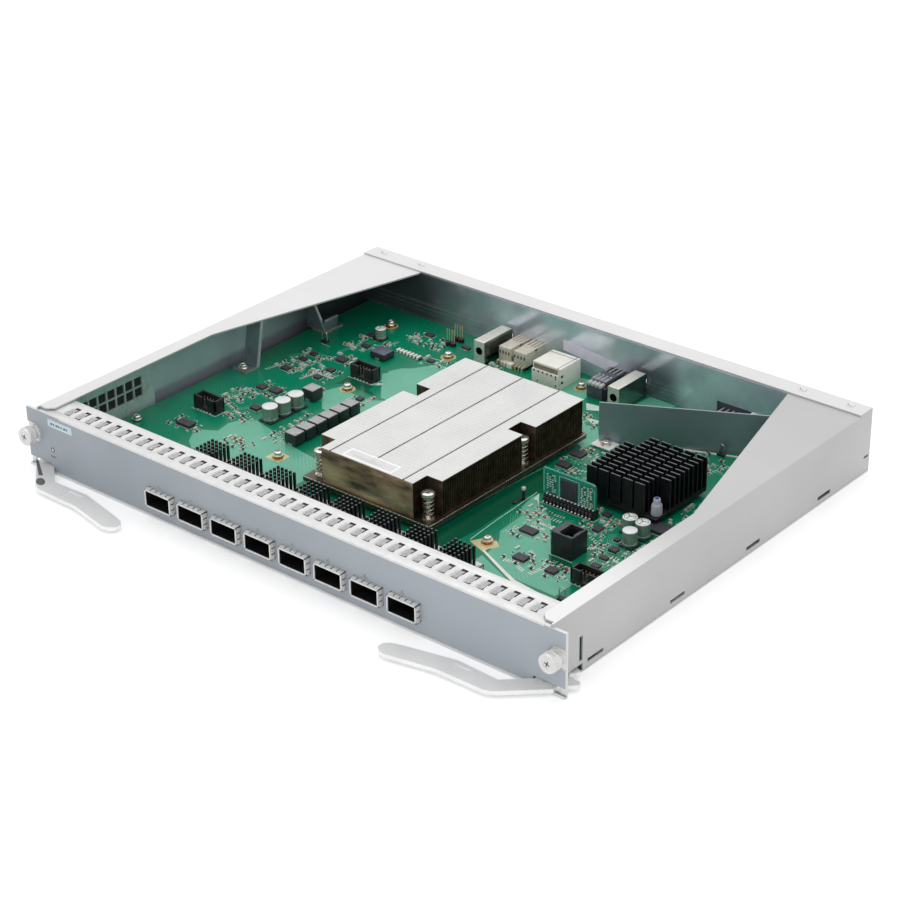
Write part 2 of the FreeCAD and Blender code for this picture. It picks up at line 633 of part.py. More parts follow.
def makeRearParts():
    keepShape(guideBlock(-71.0, -62.5, -66.8), "left_guide_block")
    keepShape(guideBlock(34.0, 42.5, 38.2), "right_guide_block")
    boardRear = size("board_rear")
    wafers = []
    for index in range(8):
        x0 = -58.5 + index * 2.8
        wafers.append(block(x0, x0 + 1.9, boardRear - 26.8, boardRear - 3.8, boardTop, boardTop + 12.0))
    spine = block(-58.5, -37.0, boardRear - 22.8, boardRear - 11.8, boardTop, boardTop + 11.2)
    keepShape(joined(wafers + [spine]), "signal_connector")
    power = joined([block(-25.5, -4.0, boardRear - 28.8, boardRear - 13.8, boardTop, boardTop + 14.0),
                    block(-25.5, -4.0, boardRear - 35.8, boardRear - 28.3, boardTop, boardTop + 8.5)])
    slots = []
    for index in range(3):
        x0 = -23.8 + index * 6.8
        slots.append(block(x0, x0 + 4.4, boardRear - 18.8, boardRear - 12.8, boardTop + 2.0, boardTop + 12.0))
    keepShape(power.cut(slots), "power_connector")
    dark = joined([block(12.5, 27.0, boardRear - 30.8, boardRear - 0.8, boardTop, boardTop + 8.5),
                   block(12.5, 27.0, boardRear - 24.8, boardRear - 0.8, boardTop + 8.4, boardTop + 11.0)])
    teeth = []
    for index in range(4):
        x0 = 14.0 + index * 3.3
        teeth.append(block(x0, x0 + 1.6, boardRear - 31.8, boardRear - 25.8, boardTop + 6.5, boardTop + 9.0))
    keepShape(dark.cut(teeth), "coax_connector")
    housings = []
    for x0, x1, length in ((-31.5, 11.7, 9.0), (93.0, 119.0, 12.0)):
        foot = block(x0, x1, boardRear - length + 6.0, boardRear, boardTop, boardTop + 3.0)
        shell = block(x0, x1, caseDepth - length - 3.0, caseDepth, boardTop + 1.0, boardTop + 12.3)
        hollow = block(x0 + 1.2, x1 - 1.2, caseDepth - 5.0, caseDepth + 1, boardTop + 2.2, boardTop + 11.1)
        housings.append(joined([foot, shell]).cut(hollow))
    keepShape(group(housings), "backplane_connectors")


def makeBoardParts():
    cans = []
    for x, y, radius, height in ((-116.0, 117.5, 4.9, 10.0), (-115.6, 128.4, 4.9, 10.0), (-115.2, 139.4, 4.9, 10.0),
                                 (-140.0, 245.2, 3.5, 8.0), (142.3, 131.5, 4.3, 10.0), (142.6, 143.0, 4.3, 10.0),
                                 (133.6, 143.4, 4.3, 10.0)):
        seat = block(x - radius - 0.2, x + radius + 0.2, y - radius - 0.2, y + radius + 0.2, boardTop, boardTop + 1.2)
        can = rodUp(x, y, boardTop + 1.1, boardTop + height, radius)
        cans.append(joined([seat, can]))
    keepShape(group(cans), "capacitors")
    coils = []
    spots = [(-83.8, 105.0 + 9.75 * index, 9.0, 8.4, 8.0) for index in range(6)]
    spots += [(-115.9, 154.8, 9.0, 9.0, 8.0), (-121.2, 225.2, 12.0, 10.0, 5.0)]
    for x, y, wide, deep, height in spots:
        core = block(x - wide / 2, x + wide / 2, y - deep / 2, y + deep / 2, boardTop + 0.6, boardTop + height)
        core = core.makeChamfer(0.4, [edge for edge in core.Edges if edge.BoundBox.ZMin > boardTop + height - 0.1])
        pad = block(x - wide / 2 + 1, x + wide / 2 - 1, y - deep / 2 + 0.6, y + deep / 2 - 0.6, boardTop, boardTop + 0.7)
        coils.append(joined([core, pad]))
    keepShape(group(coils), "inductors")
    headers = []
    for x0, x1, y0, y1 in ((-164.6, -146.4, 100.8, 109.0), (-118.6, -100.4, 192.2, 200.2), (140.6, 158.8, 80.4, 88.6)):
        shell = block(x0, x1, y0, y1, boardTop, boardTop + 9.0)
        well = block(x0 + 1.2, x1 - 1.2, y0 + 1.2, y1 - 1.2, boardTop + 2.4, boardTop + 10)
        key = block((x0 + x1) / 2 - 2.2, (x0 + x1) / 2 + 2.2, y0 - 1, y0 + 1.3, boardTop + 3.0, boardTop + 10)
        pins = []
        for column in range(5):
            for row in range(2):
                x = (x0 + x1) / 2 + (column - 2) * 2.54
                y = (y0 + y1) / 2 + (row - 0.5) * 2.54
                pins.append(block(x - 0.32, x + 0.32, y - 0.32, y + 0.32, boardTop + 2.3, boardTop + 8.0))
        headers.append(joined([shell.cut([well, key])] + pins))
    keepShape(group(headers), "box_headers")
    jack = block(113.8, 128.2, 98.0, 111.8, boardTop, boardTop + 14.0)
    socket = block(115.4, 126.6, 100.2, 109.8, boardTop + 3.0, boardTop + 15.0)
    keepShape(jack.cut(socket), "modular_jack")
    card = block(73.5, 110.2, 142.6, 144.2, boardTop + 3.0, 29.0)
    keepShape(card, "mezzanine_card")
    rail = block(75.0, 110.4, 140.6, 145.6, boardTop, boardTop + 5.0).cut(block(73.5, 110.2, 142.6, 144.2, boardTop + 3.0, 29.0))
    keepShape(rail, "card_socket")
    chips = []
    for x, y, wide, deep, height in ((-140.6, 83.0, 10.0, 7.0, 1.6), (-126.0, 133.0, 6.0, 9.0, 1.4),
                                     (-148.0, 150.0, 9.0, 7.0, 1.4), (-96.0, 226.0, 8.0, 8.0, 1.4),
                                     (96.0, 98.0, 12.0, 12.0, 1.6), (126.0, 76.0, 7.0, 7.0, 1.4),
                                     (68.0, 110.0, 8.0, 12.0, 1.4), (66.0, 180.0, 9.0, 9.0, 1.4),
                                     (118.0, 232.0, 8.0, 8.0, 1.4), (164.0, 178.0, 7.0, 7.0, 1.4)):
        chips.append(block(x - wide / 2, x + wide / 2, y - deep / 2, y + deep / 2, boardTop, boardTop + height))
    keepShape(group(chips), "chip_packages")


makeTray()
makeSideCovers()
makeRearFrame()
makeFrontPanel()
makeFingerStrip()
makeCages()
makePortSinks()
makeBoard()
makeMainSink()
makeCrossSink()
makeLevers()
makeCaptiveScrews()
makeBrackets()
makeBaffle()
makeRearParts()
makeBoardParts()
doc.recompute()

for item in doc.Objects:
    if any(word in item.State for word in ("Invalid", "Error")):
        raise RuntimeError("faulty object " + item.Label)
for item in nodes:
    if item.Shape.isNull() or not item.Shape.isValid() or not item.Shape.Solids:
        raise RuntimeError("faulty shape " + item.Label)
    item.Shape.exportStep("parts/" + item.Label + ".step")
print(len(nodes), "nodes written")
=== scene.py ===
import json
import math
import random

import bmesh
import bpy
from mathutils import Matrix, Vector

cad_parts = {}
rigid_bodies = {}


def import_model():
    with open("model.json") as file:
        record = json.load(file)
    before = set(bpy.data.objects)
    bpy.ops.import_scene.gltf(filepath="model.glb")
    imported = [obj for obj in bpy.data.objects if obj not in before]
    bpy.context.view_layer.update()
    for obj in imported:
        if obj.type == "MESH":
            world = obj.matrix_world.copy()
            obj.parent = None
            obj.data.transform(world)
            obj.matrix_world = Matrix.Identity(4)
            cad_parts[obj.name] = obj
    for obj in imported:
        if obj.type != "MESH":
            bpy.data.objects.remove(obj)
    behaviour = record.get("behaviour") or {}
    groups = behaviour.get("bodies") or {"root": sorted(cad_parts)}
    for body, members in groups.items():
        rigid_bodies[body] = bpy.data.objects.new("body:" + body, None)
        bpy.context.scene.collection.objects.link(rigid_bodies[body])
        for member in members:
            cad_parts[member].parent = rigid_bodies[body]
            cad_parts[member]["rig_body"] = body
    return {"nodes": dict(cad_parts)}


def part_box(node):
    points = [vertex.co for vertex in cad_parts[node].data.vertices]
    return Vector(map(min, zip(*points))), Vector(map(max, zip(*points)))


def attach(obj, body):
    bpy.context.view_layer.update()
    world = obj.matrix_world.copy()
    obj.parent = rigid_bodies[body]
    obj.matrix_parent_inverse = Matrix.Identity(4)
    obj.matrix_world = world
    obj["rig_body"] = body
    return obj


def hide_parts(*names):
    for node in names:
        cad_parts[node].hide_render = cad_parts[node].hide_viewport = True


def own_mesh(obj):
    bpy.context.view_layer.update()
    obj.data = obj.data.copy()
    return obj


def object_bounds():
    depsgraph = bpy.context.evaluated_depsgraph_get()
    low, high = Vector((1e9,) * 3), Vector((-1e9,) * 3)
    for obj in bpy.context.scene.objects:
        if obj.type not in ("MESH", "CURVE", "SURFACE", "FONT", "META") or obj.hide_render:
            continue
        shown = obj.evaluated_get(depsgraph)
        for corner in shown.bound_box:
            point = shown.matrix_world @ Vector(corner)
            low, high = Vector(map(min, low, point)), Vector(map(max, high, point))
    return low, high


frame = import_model()
cadLow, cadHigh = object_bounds()
print("frame loaded:", len(frame["nodes"]), "nodes")

# ---- camera, lights and floor

cameraSetup = {"place": (0.80665, -0.79628, 0.66915), "turn": (62.15728, 0.77728, 40.0902), "lens": 96.192}
studio = {"worldLevel": 0.62, "panelPower": 9.0, "frontPower": 4.4, "floorColour": "FAFAFA",
    "floorLift": 0.34}


def linear(hexText):
    parts = [int(hexText[start:start + 2], 16) / 255 for start in (0, 2, 4)]
    return tuple(part / 12.92 if part <= 0.04045 else ((part + 0.055) / 1.055) ** 2.4
            for part in parts) + (1.0,)


def addNode(tree, kind, inputs=None, stops=None, **settings):
    node = tree.nodes.new("ShaderNode" + kind)
    for name, value in settings.items():
        setattr(node, name, value)
    for key, value in (inputs or {}).items():
        if isinstance(value, bpy.types.NodeSocket):
            tree.links.new(value, node.inputs[key])
        else:
            node.inputs[key].default_value = value
    if stops:
        ramp = node.color_ramp
        while len(ramp.elements) < len(stops):
            ramp.elements.new(0.5)
        for element, (place, colour) in zip(ramp.elements, stops):
            element.position = place
            element.color = colour
    return node


def reckon(tree, operation, first, second):
    return addNode(tree, "Math", {0: first, 1: second}, operation=operation).outputs[0]


def spread(tree, value, ends, kind="LINEAR"):
    return addNode(tree, "MapRange", {"Value": value, **ends}, interpolation_type=kind).outputs[0]


def blend(tree, share, under, over):
    return addNode(tree, "Mix", {0: share, 6: under, 7: over}, data_type="RGBA").outputs[2]


def makeCamera():
    data = bpy.data.cameras.new("camera")
    data.lens = cameraSetup["lens"]
    data.sensor_width = 36.0
    data.clip_start = 0.01
    data.clip_end = 50.0
    camera = bpy.data.objects.new("camera", data)
    bpy.context.scene.collection.objects.link(camera)
    camera.location = cameraSetup["place"]
    camera.rotation_euler = [math.radians(value) for value in cameraSetup["turn"]]
    bpy.context.scene.camera = camera


def makeLamp(name, place, target, width, depth, power):
    data = bpy.data.lights.new(name, "AREA")
    data.shape = "RECTANGLE"
    data.size = width
    data.size_y = depth
    data.energy = power
    lamp = bpy.data.objects.new(name, data)
    bpy.context.scene.collection.objects.link(lamp)
    lamp.location = place
    lamp.rotation_euler = (Vector(target) - Vector(place)).to_track_quat("-Z", "Y").to_euler()
    return lamp


def makeStudio():
    scene = bpy.context.scene
    scene.view_settings.view_transform = "Standard"
    world = bpy.data.worlds.new("studioSky")
    scene.world = world
    world.use_nodes = True
    tree = world.node_tree
    tree.nodes.clear()
    path = addNode(tree, "LightPath")
    seen = reckon(tree, "MAXIMUM", path.outputs["Is Camera Ray"], path.outputs["Is Glossy Ray"])
    seen = reckon(tree, "MAXIMUM", seen, path.outputs["Is Transmission Ray"])
    soft = addNode(tree, "Background", {"Color": (1, 1, 1, 1), "Strength": studio["worldLevel"]})
    white = addNode(tree, "Background", {"Color": (1, 1, 1, 1), "Strength": 1.0})
    both = addNode(tree, "MixShader", {0: seen, 1: soft.outputs[0], 2: white.outputs[0]})
    addNode(tree, "OutputWorld", {0: both.outputs[0]})
    middle = (0.0, 0.15, 0.0)
    makeLamp("overheadPanel", (-0.35, 0.55, 1.5), middle, 1.8, 1.6, studio["panelPower"])
    makeLamp("frontPanelLamp", (0.9, -1.6, 0.9), middle, 1.4, 1.0, studio["frontPower"])

    form = bmesh.new()
    bmesh.ops.create_grid(form, x_segments=1, y_segments=1, size=6.0,
            matrix=Matrix.Translation((0, 0, cadLow.z - 0.0002)))
    mesh = bpy.data.meshes.new("studioFloor")
    form.to_mesh(mesh)
    form.free()
    floor = bpy.data.objects.new("studioFloor", mesh)
    scene.collection.objects.link(floor)
    material = bpy.data.materials.new("paperFloor")
    material.use_nodes = True
    tree = material.node_tree
    tree.nodes.clear()
    path = addNode(tree, "LightPath")
    seen = reckon(tree, "MAXIMUM", path.outputs["Is Camera Ray"], path.outputs["Is Glossy Ray"])
    lift = reckon(tree, "MULTIPLY", seen, studio["floorLift"])
    paper = addNode(tree, "BsdfDiffuse", {"Color": linear(studio["floorColour"])})
    glow = addNode(tree, "Emission", {"Color": (1, 1, 1, 1), "Strength": lift})
    total = addNode(tree, "AddShader", {0: paper.outputs[0], 1: glow.outputs[0]})
    addNode(tree, "OutputMaterial", {0: total.outputs[0]})
    mesh.materials.append(material)


makeCamera()
makeStudio()
print("camera and studio ready")

# ---- materials

# base and other colour, metallic, roughness from and to, sizes in mm (cloud, grain, grain height), extras
finishes = {
    # zinc-plated sheet inside the case: blue-grey, satin, with a broad cloudy sheen
    "galvanisedSheet": ("92A3A7", "7E9094", 0.5, 0.24, 0.36, 70, 22, 0.02, {"edgeWearAndHighlight": "E6EAEA"}),
    # the same sheet on the left wall, with painted shade: darker low down and towards the rear
    "leftWallSheet": ("C2D6D8", "A8BEC0", 0.28, 0.24, 0.36, 70, 22, 0.02,
        {"edgeWearAndHighlight": "E6EAEA", "fades": ((2, 17, 12, "8C8899", 0.85), (1, 180, 245, "161B1C", 0.88))}),
    # bright rolled zinc, nearly a mirror: shows soft patches of what stands before it; it is darkened
    # towards the left end and in a patch low behind the connectors as painted reflection
    "brightZincSheet": ("E6EEF7", "BCC9D6", 0.52, 0.13, 0.24, 26, 16, 0.025,
        {"edgeWearAndHighlight": "F2F4F5", "fades": ((0, -62, -142, "121C1D", 0.86),),
            "spots": (((47, 286.4, 12), 30, "39434C", 0.75),)}),
    # galvanised plate around the vents: open spangle, dull
    "spangledSheet": ("C3D8D6", "8FA9A6", 0.25, 0.34, 0.5, 16, 2.6, 0.03, {"cell": 2.6, "edgeWearAndHighlight": "B9C6C6"}),
    # woven dust screen, blackened wire, drawn as a fine dark grain
    "dustScreen": ("26302F", "131919", 0.2, 0.5, 0.65, 0.8, 0.4, 0.03, {}),
    # blued steel brackets: dark grey, satin
    "bracketSteel": ("84949A", "6C7B80", 0.4, 0.26, 0.4, 12, 4, 0.015, {"edgeWearAndHighlight": "E3E8EA"}),
    # pre-coated steel sheet, satin lacquer over zinc: pale, even, a little sheen
    "satinCaseSteel": ("CDCDCD", "C5C5C5", 0.2, 0.36, 0.46, 90, 0.6, 0.004, {"edgeWearAndHighlight": "FAFAFA"}),
    # the same lacquer drawn lighter as painted light, for faces that catch the light: the rear strip, the
    # left flange's top, the lips
    "litCaseSteel": ("F0F0F0", "E8E8E8", 0.1, 0.36, 0.46, 90, 0.6, 0.004, {"edgeWearAndHighlight": "FFFFFF"}),
    # powder-coated aluminium front: grey-blue, fine orange peel
    "powderCoatPanel": ("ABB3BA", "A5ADB5", 0, 0.38, 0.5, 45, 0.7, 0.012,
        {"edgeWearAndHighlight": "C9CED2", "fades": ((0, -40, 150, "B5BDC5", 0.9),)}),
    # stamped beryllium copper, tin plated: bright and slightly uneven
    "tinPlatedSpring": ("F2F2F1", "E4E5E4", 0.15, 0.26, 0.38, 7, 1.4, 0.01, {"edgeWearAndHighlight": "F4F4F2"}),
    # die-cast zinc lever, tumbled and satin coated
    "satinLeverMetal": ("EFEFEE", "E4E5E4", 0.14, 0.32, 0.45, 16, 0.8, 0.01, {"edgeWearAndHighlight": "FFFFFF"}),
    # the lever's rim faces drawn bright as a painted highlight
    "brightRim": ("FFFFFF", "F4F4F4", 0.5, 0.24, 0.36, 16, 0.8, 0.006, {}),
    # nickel-plated knob, satin: white with soft grey shading
    "satinKnob": ("F1F1F0", "DEDEDC", 0.25, 0.2, 0.32, 6, 0.6, 0.004, {"edgeWearAndHighlight": "FFFFFF"}),
    # drawn contact fingers, faintly brushed
    "brushedFinger": ("FCFCFC", "F0F0F0", 0.42, 0.26, 0.4, 1.6, 0.5, 0.004, {"edgeWearAndHighlight": "F5F5F5"}),
    # matt black sheet under the fingers, standing in for the shade seen through their windows: painted
    # shade
    "shadeBacking": ("060707", "0B0C0C", 0, 0.6, 0.75, 2, 0.6, 0.02, {}),
    # cut edge of sheet steel catching the light
    "brightEdge": ("C9D2D4", "A8B4B6", 0.3, 0.25, 0.4, 5, 0.8, 0.006, {}),
    # traces under the mask, seen as thin pale lines
    "paleTrace": ("6DB89C", "4FA384", 0, 0.25, 0.35, 5, 0.8, 0.003, {}),
    # glass laminate, sawn edge: pale green with brown fibres
    "laminateEdge": ("5E8F6C", "3F6B4E", 0, 0.45, 0.6, 2.4, 0.4, 0.01, {}),
    # hexagon sockets, blued inside
    "violetSocket": ("3A3C7C", "23264E", 0.3, 0.3, 0.45, 1, 0.3, 0.004, {}),
    # cream moulding in its own shade, drawn tan
    "shelfTan": ("A59C86", "857C68", 0, 0.5, 0.65, 3, 0.5, 0.006, {}),
    # upper faces of the slate mouldings, drawn lighter grey than the sides
    "slateTop": ("A3A3AD", "8A8A95", 0, 0.4, 0.55, 3, 0.5, 0.008, {}),
    # gold-flashed contact leads, almost white where they catch the light
    "brightLead": ("F6F5F0", "E2E0D6", 0.3, 0.25, 0.4, 1, 0.4, 0.004, {}),
    # upper rims of the black mouldings, drawn violet grey, lighter than the sides
    "greyTopBlack": ("46434C", "36343B", 0, 0.4, 0.55, 2.5, 0.4, 0.008, {}),
    # header pins, dull
    "dullPin": ("A09A82", "7E7862", 0.4, 0.3, 0.45, 1.5, 0.4, 0.004, {}),
    # shaded recesses of bright metal
    "recessGrey": ("6E7071", "585A5B", 0.3, 0.4, 0.55, 2, 0.5, 0.004, {}),
    # nickel-plated turned steel: bright screws and studs
    "nickelScrew": ("E4DED6", "B9B3AB", 0.85, 0.14, 0.28, 2.5, 0.5, 0.006, {"edgeWearAndHighlight": "F1F0EC"}),
    # drawn spring wire, bright
    "springWire": ("CFC8BC", "9D958A", 1, 0.16, 0.3, 1.6, 0.4, 0.004, {}),
    # turned brass, lightly tarnished: hexagonal posts
    "turnedBrass": ("C9A86A", "A88748", 1, 0.22, 0.38, 2, 0.5, 0.005, {}),
    # immersion gold on copper: bare pads and rings
    "immersionGold": ("E3D6AC", "C9B683", 0.35, 0.28, 0.42, 3, 0.8, 0.006, {}),
    # bare folded aluminium fin stock: white and satin from above
    "foldedFinStock": ("E6E6E4", "D6D7D6", 0.5, 0.3, 0.46, 22, 1.5, 0.01, {}),
    # sides of the fins: the same sheet drawn dark bronze, painted shade for the deep channels between the
    # fins
    "shadedFinSide": ("84715A", "4A3F33", 0.85, 0.3, 0.5, 6, 1.2, 0.01, {}),
    # end sheet of the fin stack: bronze streaks drawn out along the sheet
    "smokedEndSheet": ("E6C8A2", "5E5342", 0.45, 0.2, 0.36, 11, 5, 0.03, {"stretch": (0.4, 1, 1.5)}),
    # edge of the plate in shade, its corners bright
    "shadedPlate": ("6A6152", "453F34", 0.8, 0.2, 0.36, 12, 4, 0.02, {"edgeWearAndHighlight": "F4EEE2"}),
    # extruded aluminium, black anodised: deep black, dull sheen
    "blackAnodised": ("0C0D0F", "15171A", 0.3, 0.36, 0.5, 4, 0.5, 0.006, {"edgeWearAndHighlight": "5E6266"}),
    # ends of the black anodised pins, drawn pale grey: partly bare metal where the coat is thin, partly
    # painted highlight
    "bareAndLitPinTip": ("8D9194", "4C4F52", 0.6, 0.3, 0.5, 0.9, 0.3, 0.01, {}),
    # stamped stainless module cage, bright
    "stampedCage": ("EEEEEC", "DADBDA", 0.3, 0.22, 0.36, 5, 1, 0.008, {"edgeWearAndHighlight": "F6F6F4"}),
    # inside of the cages, in shade and dulled
    "cageInside": ("2B2B2C", "151516", 0.5, 0.4, 0.6, 4, 1, 0.008, {}),
    # glass-filled moulded plastics: very fine grain, matt
    "blackMoulding": ("111315", "1C1F21", 0, 0.42, 0.58, 3, 0.35, 0.01, {"edgeWearAndHighlight": "34383B"}),
    "slateMoulding": ("575B66", "474B55", 0, 0.4, 0.55, 3, 0.35, 0.01, {"edgeWearAndHighlight": "9698A2"}),
    "ivoryMoulding": ("DAD3C4", "C9C2B2", 0, 0.4, 0.55, 4, 0.35, 0.01, {"edgeWearAndHighlight": "E6E0D3"}),
    "creamMoulding": ("FEFCF5", "F2EFE4", 0, 0.4, 0.55, 4, 0.35, 0.01, {"edgeWearAndHighlight": "F5F2EA"}),
    "whiteNylon": ("C9CBD6", "B7BAC8", 0, 0.35, 0.5, 3, 0.5, 0.006, {}),
    "blueNylon": ("2D3FA8", "25348C", 0, 0.3, 0.45, 2, 0.5, 0.006, {}),
    # epoxy moulded chip package: dark grey, sparkle-free
    "epoxyPackage": ("3E3B44", "2D2B32", 0, 0.45, 0.6, 1.6, 0.25, 0.006, {"edgeWearAndHighlight": "5A5E60"}),
    # pressed iron-powder inductor: top drawn light grey, sides dark
    "powderCoreTop": ("BABBBA", "A8AAA9", 0.1, 0.45, 0.6, 2.6, 0.4, 0.012, {}),
    "powderCoreSide": ("313A3A", "222A2A", 0.1, 0.4, 0.55, 2.6, 0.4, 0.012, {}),
    "violetCore": ("62637A", "535469", 0.1, 0.4, 0.55, 3, 0.4, 0.012, {}),
    # drawn aluminium capacitor can: white pressed top, satin wall whose green cast is a painted reflection
    # of the board
    "canTop": ("F3F4F4", "E6E8E8", 0.1, 0.28, 0.4, 3.5, 1, 0.005, {"edgeWearAndHighlight": "FFFFFF"}),
    "canWall": ("94AC9F", "748F81", 0.45, 0.24, 0.34, 9, 1, 0.003, {}),
    # tinned leads and solder fillets
    "tinnedLead": ("D2D4D3", "A9ADAD", 0.9, 0.2, 0.36, 0.8, 0.3, 0.01, {}),
    # fired ceramic chip parts
    "whiteCeramic": ("D3D6D0", "B9BDB6", 0, 0.4, 0.55, 0.9, 0.3, 0.006, {}),
    "tanCeramic": ("A98D6B", "8A6F50", 0, 0.4, 0.55, 0.9, 0.3, 0.006, {}),
    # screen-printed epoxy ink, white and slightly broken
    "screenInk": ("E2F0E9", "B4D6C6", 0, 0.5, 0.65, 1.2, 0.2, 0.004, {}),
    # cast clear acrylic light pipe, seen as a pale smoky bar
    "clearAcrylic": ("AEB6BB", "98A1A7", 0, 0.08, 0.16, 4, 2, 0.004, {}),
    # blank paper label with a matt film
    "blankLabel": ("F1EEFB", "E6E2F3", 0, 0.42, 0.55, 5, 0.5, 0.004, {}),
    "paleBlueFilm": ("D9ECF5", "CDE4F0", 0, 0.35, 0.5, 5, 0.5, 0.004, {}),
    # the guide block's side, lapped to a dull mirror
    "lappedZinc": ("8F9A94", "727C77", 1, 0.14, 0.24, 9, 3, 0.01, {}),
    # the right cover's flange with painted sheen: lightened towards the front
    "flangeSteel": ("CDCDCD", "C5C5C5", 0.2, 0.36, 0.46, 90, 0.6, 0.004,
        {"edgeWearAndHighlight": "FAFAFA", "fades": ((1, 130, 30, "F4F4F4", 1),)}),
    # die-cast zinc alloy guide block, machined face
    "castZinc": ("E6E4DC", "D0CDC2", 0.45, 0.26, 0.4, 4, 0.8, 0.012, {"edgeWearAndHighlight": "E4E1D8"}),
}


def makeFinish(name, recipe):
    base, other, metallic, low, high, cloudSize, grainSize, grainHeight, extras = recipe
    material = bpy.data.materials.new(name)
    material.use_nodes = True
    tree = material.node_tree
    shader = tree.nodes["Principled BSDF"]
    place = addNode(tree, "TexCoord").outputs["Object"]
    drawn = addNode(tree, "VectorMath", {0: place, 1: extras.get("stretch", (1, 1, 1))},
            operation="MULTIPLY")
    cloud = addNode(tree, "TexNoise", {"Vector": drawn.outputs[0], "Scale": 1000 / cloudSize, "Detail": 5.0,
            "Roughness": 0.55})
    level = spread(tree, cloud.outputs[0], {1: 0.32, 2: 0.68})
    if "cell" in extras:
        cell = addNode(tree, "TexVoronoi", {"Vector": place, "Scale": 1000 / extras["cell"]})
        grey = addNode(tree, "RGBToBW", {0: cell.outputs["Color"]})
        level = reckon(tree, "MULTIPLY", level, grey.outputs[0])
    colour = blend(tree, level, linear(base), linear(other))
    # fades blend a tint in along one axis, spots round a point; on the case walls and the right flange
    # these are painted shade, painted reflection and painted sheen
    if "fades" in extras:
        split = addNode(tree, "SeparateXYZ", {0: place})
        for axis, start, end, tint, amount in extras["fades"]:
            share = spread(tree, split.outputs[axis], {1: start / 1000, 2: end / 1000, 4: amount},
                    "SMOOTHSTEP")
            colour = blend(tree, share, colour, linear(tint))
    for centre, radius, tint, amount in extras.get("spots", ()):
        away = addNode(tree, "VectorMath", {0: place, 1: Vector(centre) / 1000}, operation="DISTANCE")
        share = spread(tree, away.outputs["Value"], {1: radius / 1000, 2: radius / 3000, 4: amount},
                "SMOOTHSTEP")
        colour = blend(tree, share, colour, linear(tint))
    rough = spread(tree, level, {3: low, 4: high})
    # edges lightened where the bevel normal turns away: partly real edge wear, partly painted highlight
    # along the rounded edges
    if "edgeWearAndHighlight" in extras:
        rounded = addNode(tree, "Bevel", {"Radius": 0.00035}, samples=4)
        flat = addNode(tree, "NewGeometry")
        match = addNode(tree, "VectorMath", {0: rounded.outputs[0], 1: flat.outputs["Normal"]},
                operation="DOT_PRODUCT")
        edge = spread(tree, match.outputs["Value"], {1: 0.99, 2: 0.8})
        wornAndLitEdge = reckon(tree, "MULTIPLY", edge, 0.75)
        colour = blend(tree, wornAndLitEdge, colour, linear(extras["edgeWearAndHighlight"]))
    grain = addNode(tree, "TexNoise", {"Vector": place, "Scale": 1000 / grainSize, "Detail": 3.0})
    bump = addNode(tree, "Bump", {"Strength": 0.6, "Distance": grainHeight / 1000,
            "Height": grain.outputs[0]})
    tree.links.new(colour, shader.inputs["Base Color"])
    tree.links.new(rough, shader.inputs["Roughness"])
    tree.links.new(bump.outputs[0], shader.inputs["Normal"])
    shader.inputs["Metallic"].default_value = metallic
    return material


laminate = {"zone": 15.0, "tracePitch": 0.95, "viaPitch": 3.1, "hole": "0A2A20", "ring": "4FA083"}


# solder mask over copper on glass laminate: glossy green, traces and planes paler than bare laminate
def makeSolderMask(name, mask, maskOther, trace, traced):
    material = bpy.data.materials.new(name)
    material.use_nodes = True
    tree = material.node_tree
    shader = tree.nodes["Principled BSDF"]
    place = addNode(tree, "TexCoord").outputs["Object"]
    cloud = addNode(tree, "TexNoise", {"Vector": place, "Scale": 14.0, "Detail": 2.0})
    colour = blend(tree, cloud.outputs[0], linear(mask), linear(maskOther))
    zone = addNode(tree, "TexVoronoi", {"Vector": place, "Scale": 1000 / laminate["zone"]},
            distance="MANHATTAN")
    split = addNode(tree, "SeparateColor", {0: zone.outputs["Color"]})
    bands = 0.3142 / (laminate["tracePitch"] / 1000)
    lines = None
    for index, direction in enumerate(("X", "Y", "DIAGONAL")):
        wave = addNode(tree, "TexWave", {"Vector": place, "Scale": bands * (1.0, 1.0, 0.62)[index]},
                bands_direction=direction)
        thin = spread(tree, wave.outputs[1], {1: 0.76, 2: 0.9})
        low = reckon(tree, "GREATER_THAN", split.outputs[1], traced / 3 * index)
        high = reckon(tree, "LESS_THAN", split.outputs[1], traced / 3 * (index + 1))
        here = reckon(tree, "MULTIPLY", low, high)
        part = reckon(tree, "MULTIPLY", thin, here)
        lines = part if lines is None else reckon(tree, "MAXIMUM", lines, part)
    lines = reckon(tree, "MULTIPLY", lines, 0.26)
    colour = blend(tree, lines, colour, linear(trace))
    via = addNode(tree, "TexVoronoi", {"Vector": place, "Scale": 1000 / laminate["viaPitch"]})
    ring = spread(tree, via.outputs["Distance"], {1: 0.11, 2: 0.08})
    bore = spread(tree, via.outputs["Distance"], {1: 0.05, 2: 0.03})
    some = reckon(tree, "LESS_THAN", split.outputs[0], traced)
    ring = reckon(tree, "MULTIPLY", ring, some)
    bore = reckon(tree, "MULTIPLY", bore, some)
    colour = blend(tree, ring, colour, linear(laminate["ring"]))
    colour = blend(tree, bore, colour, linear(laminate["hole"]))
    height = reckon(tree, "ADD", lines, ring)
    bump = addNode(tree, "Bump", {"Strength": 0.6, "Distance": 0.00003, "Height": height})
    tree.links.new(colour, shader.inputs["Base Color"])
    tree.links.new(bump.outputs[0], shader.inputs["Normal"])
    shader.inputs["Roughness"].default_value = 0.24
    shader.inputs["Specular IOR Level"].default_value = 0.32
    return material


finish = {name: makeFinish(name, recipe) for name, recipe in finishes.items()}
finish["solderMask"] = makeSolderMask("solderMask", "017B58", "038866", "2C9A77", 0.55)
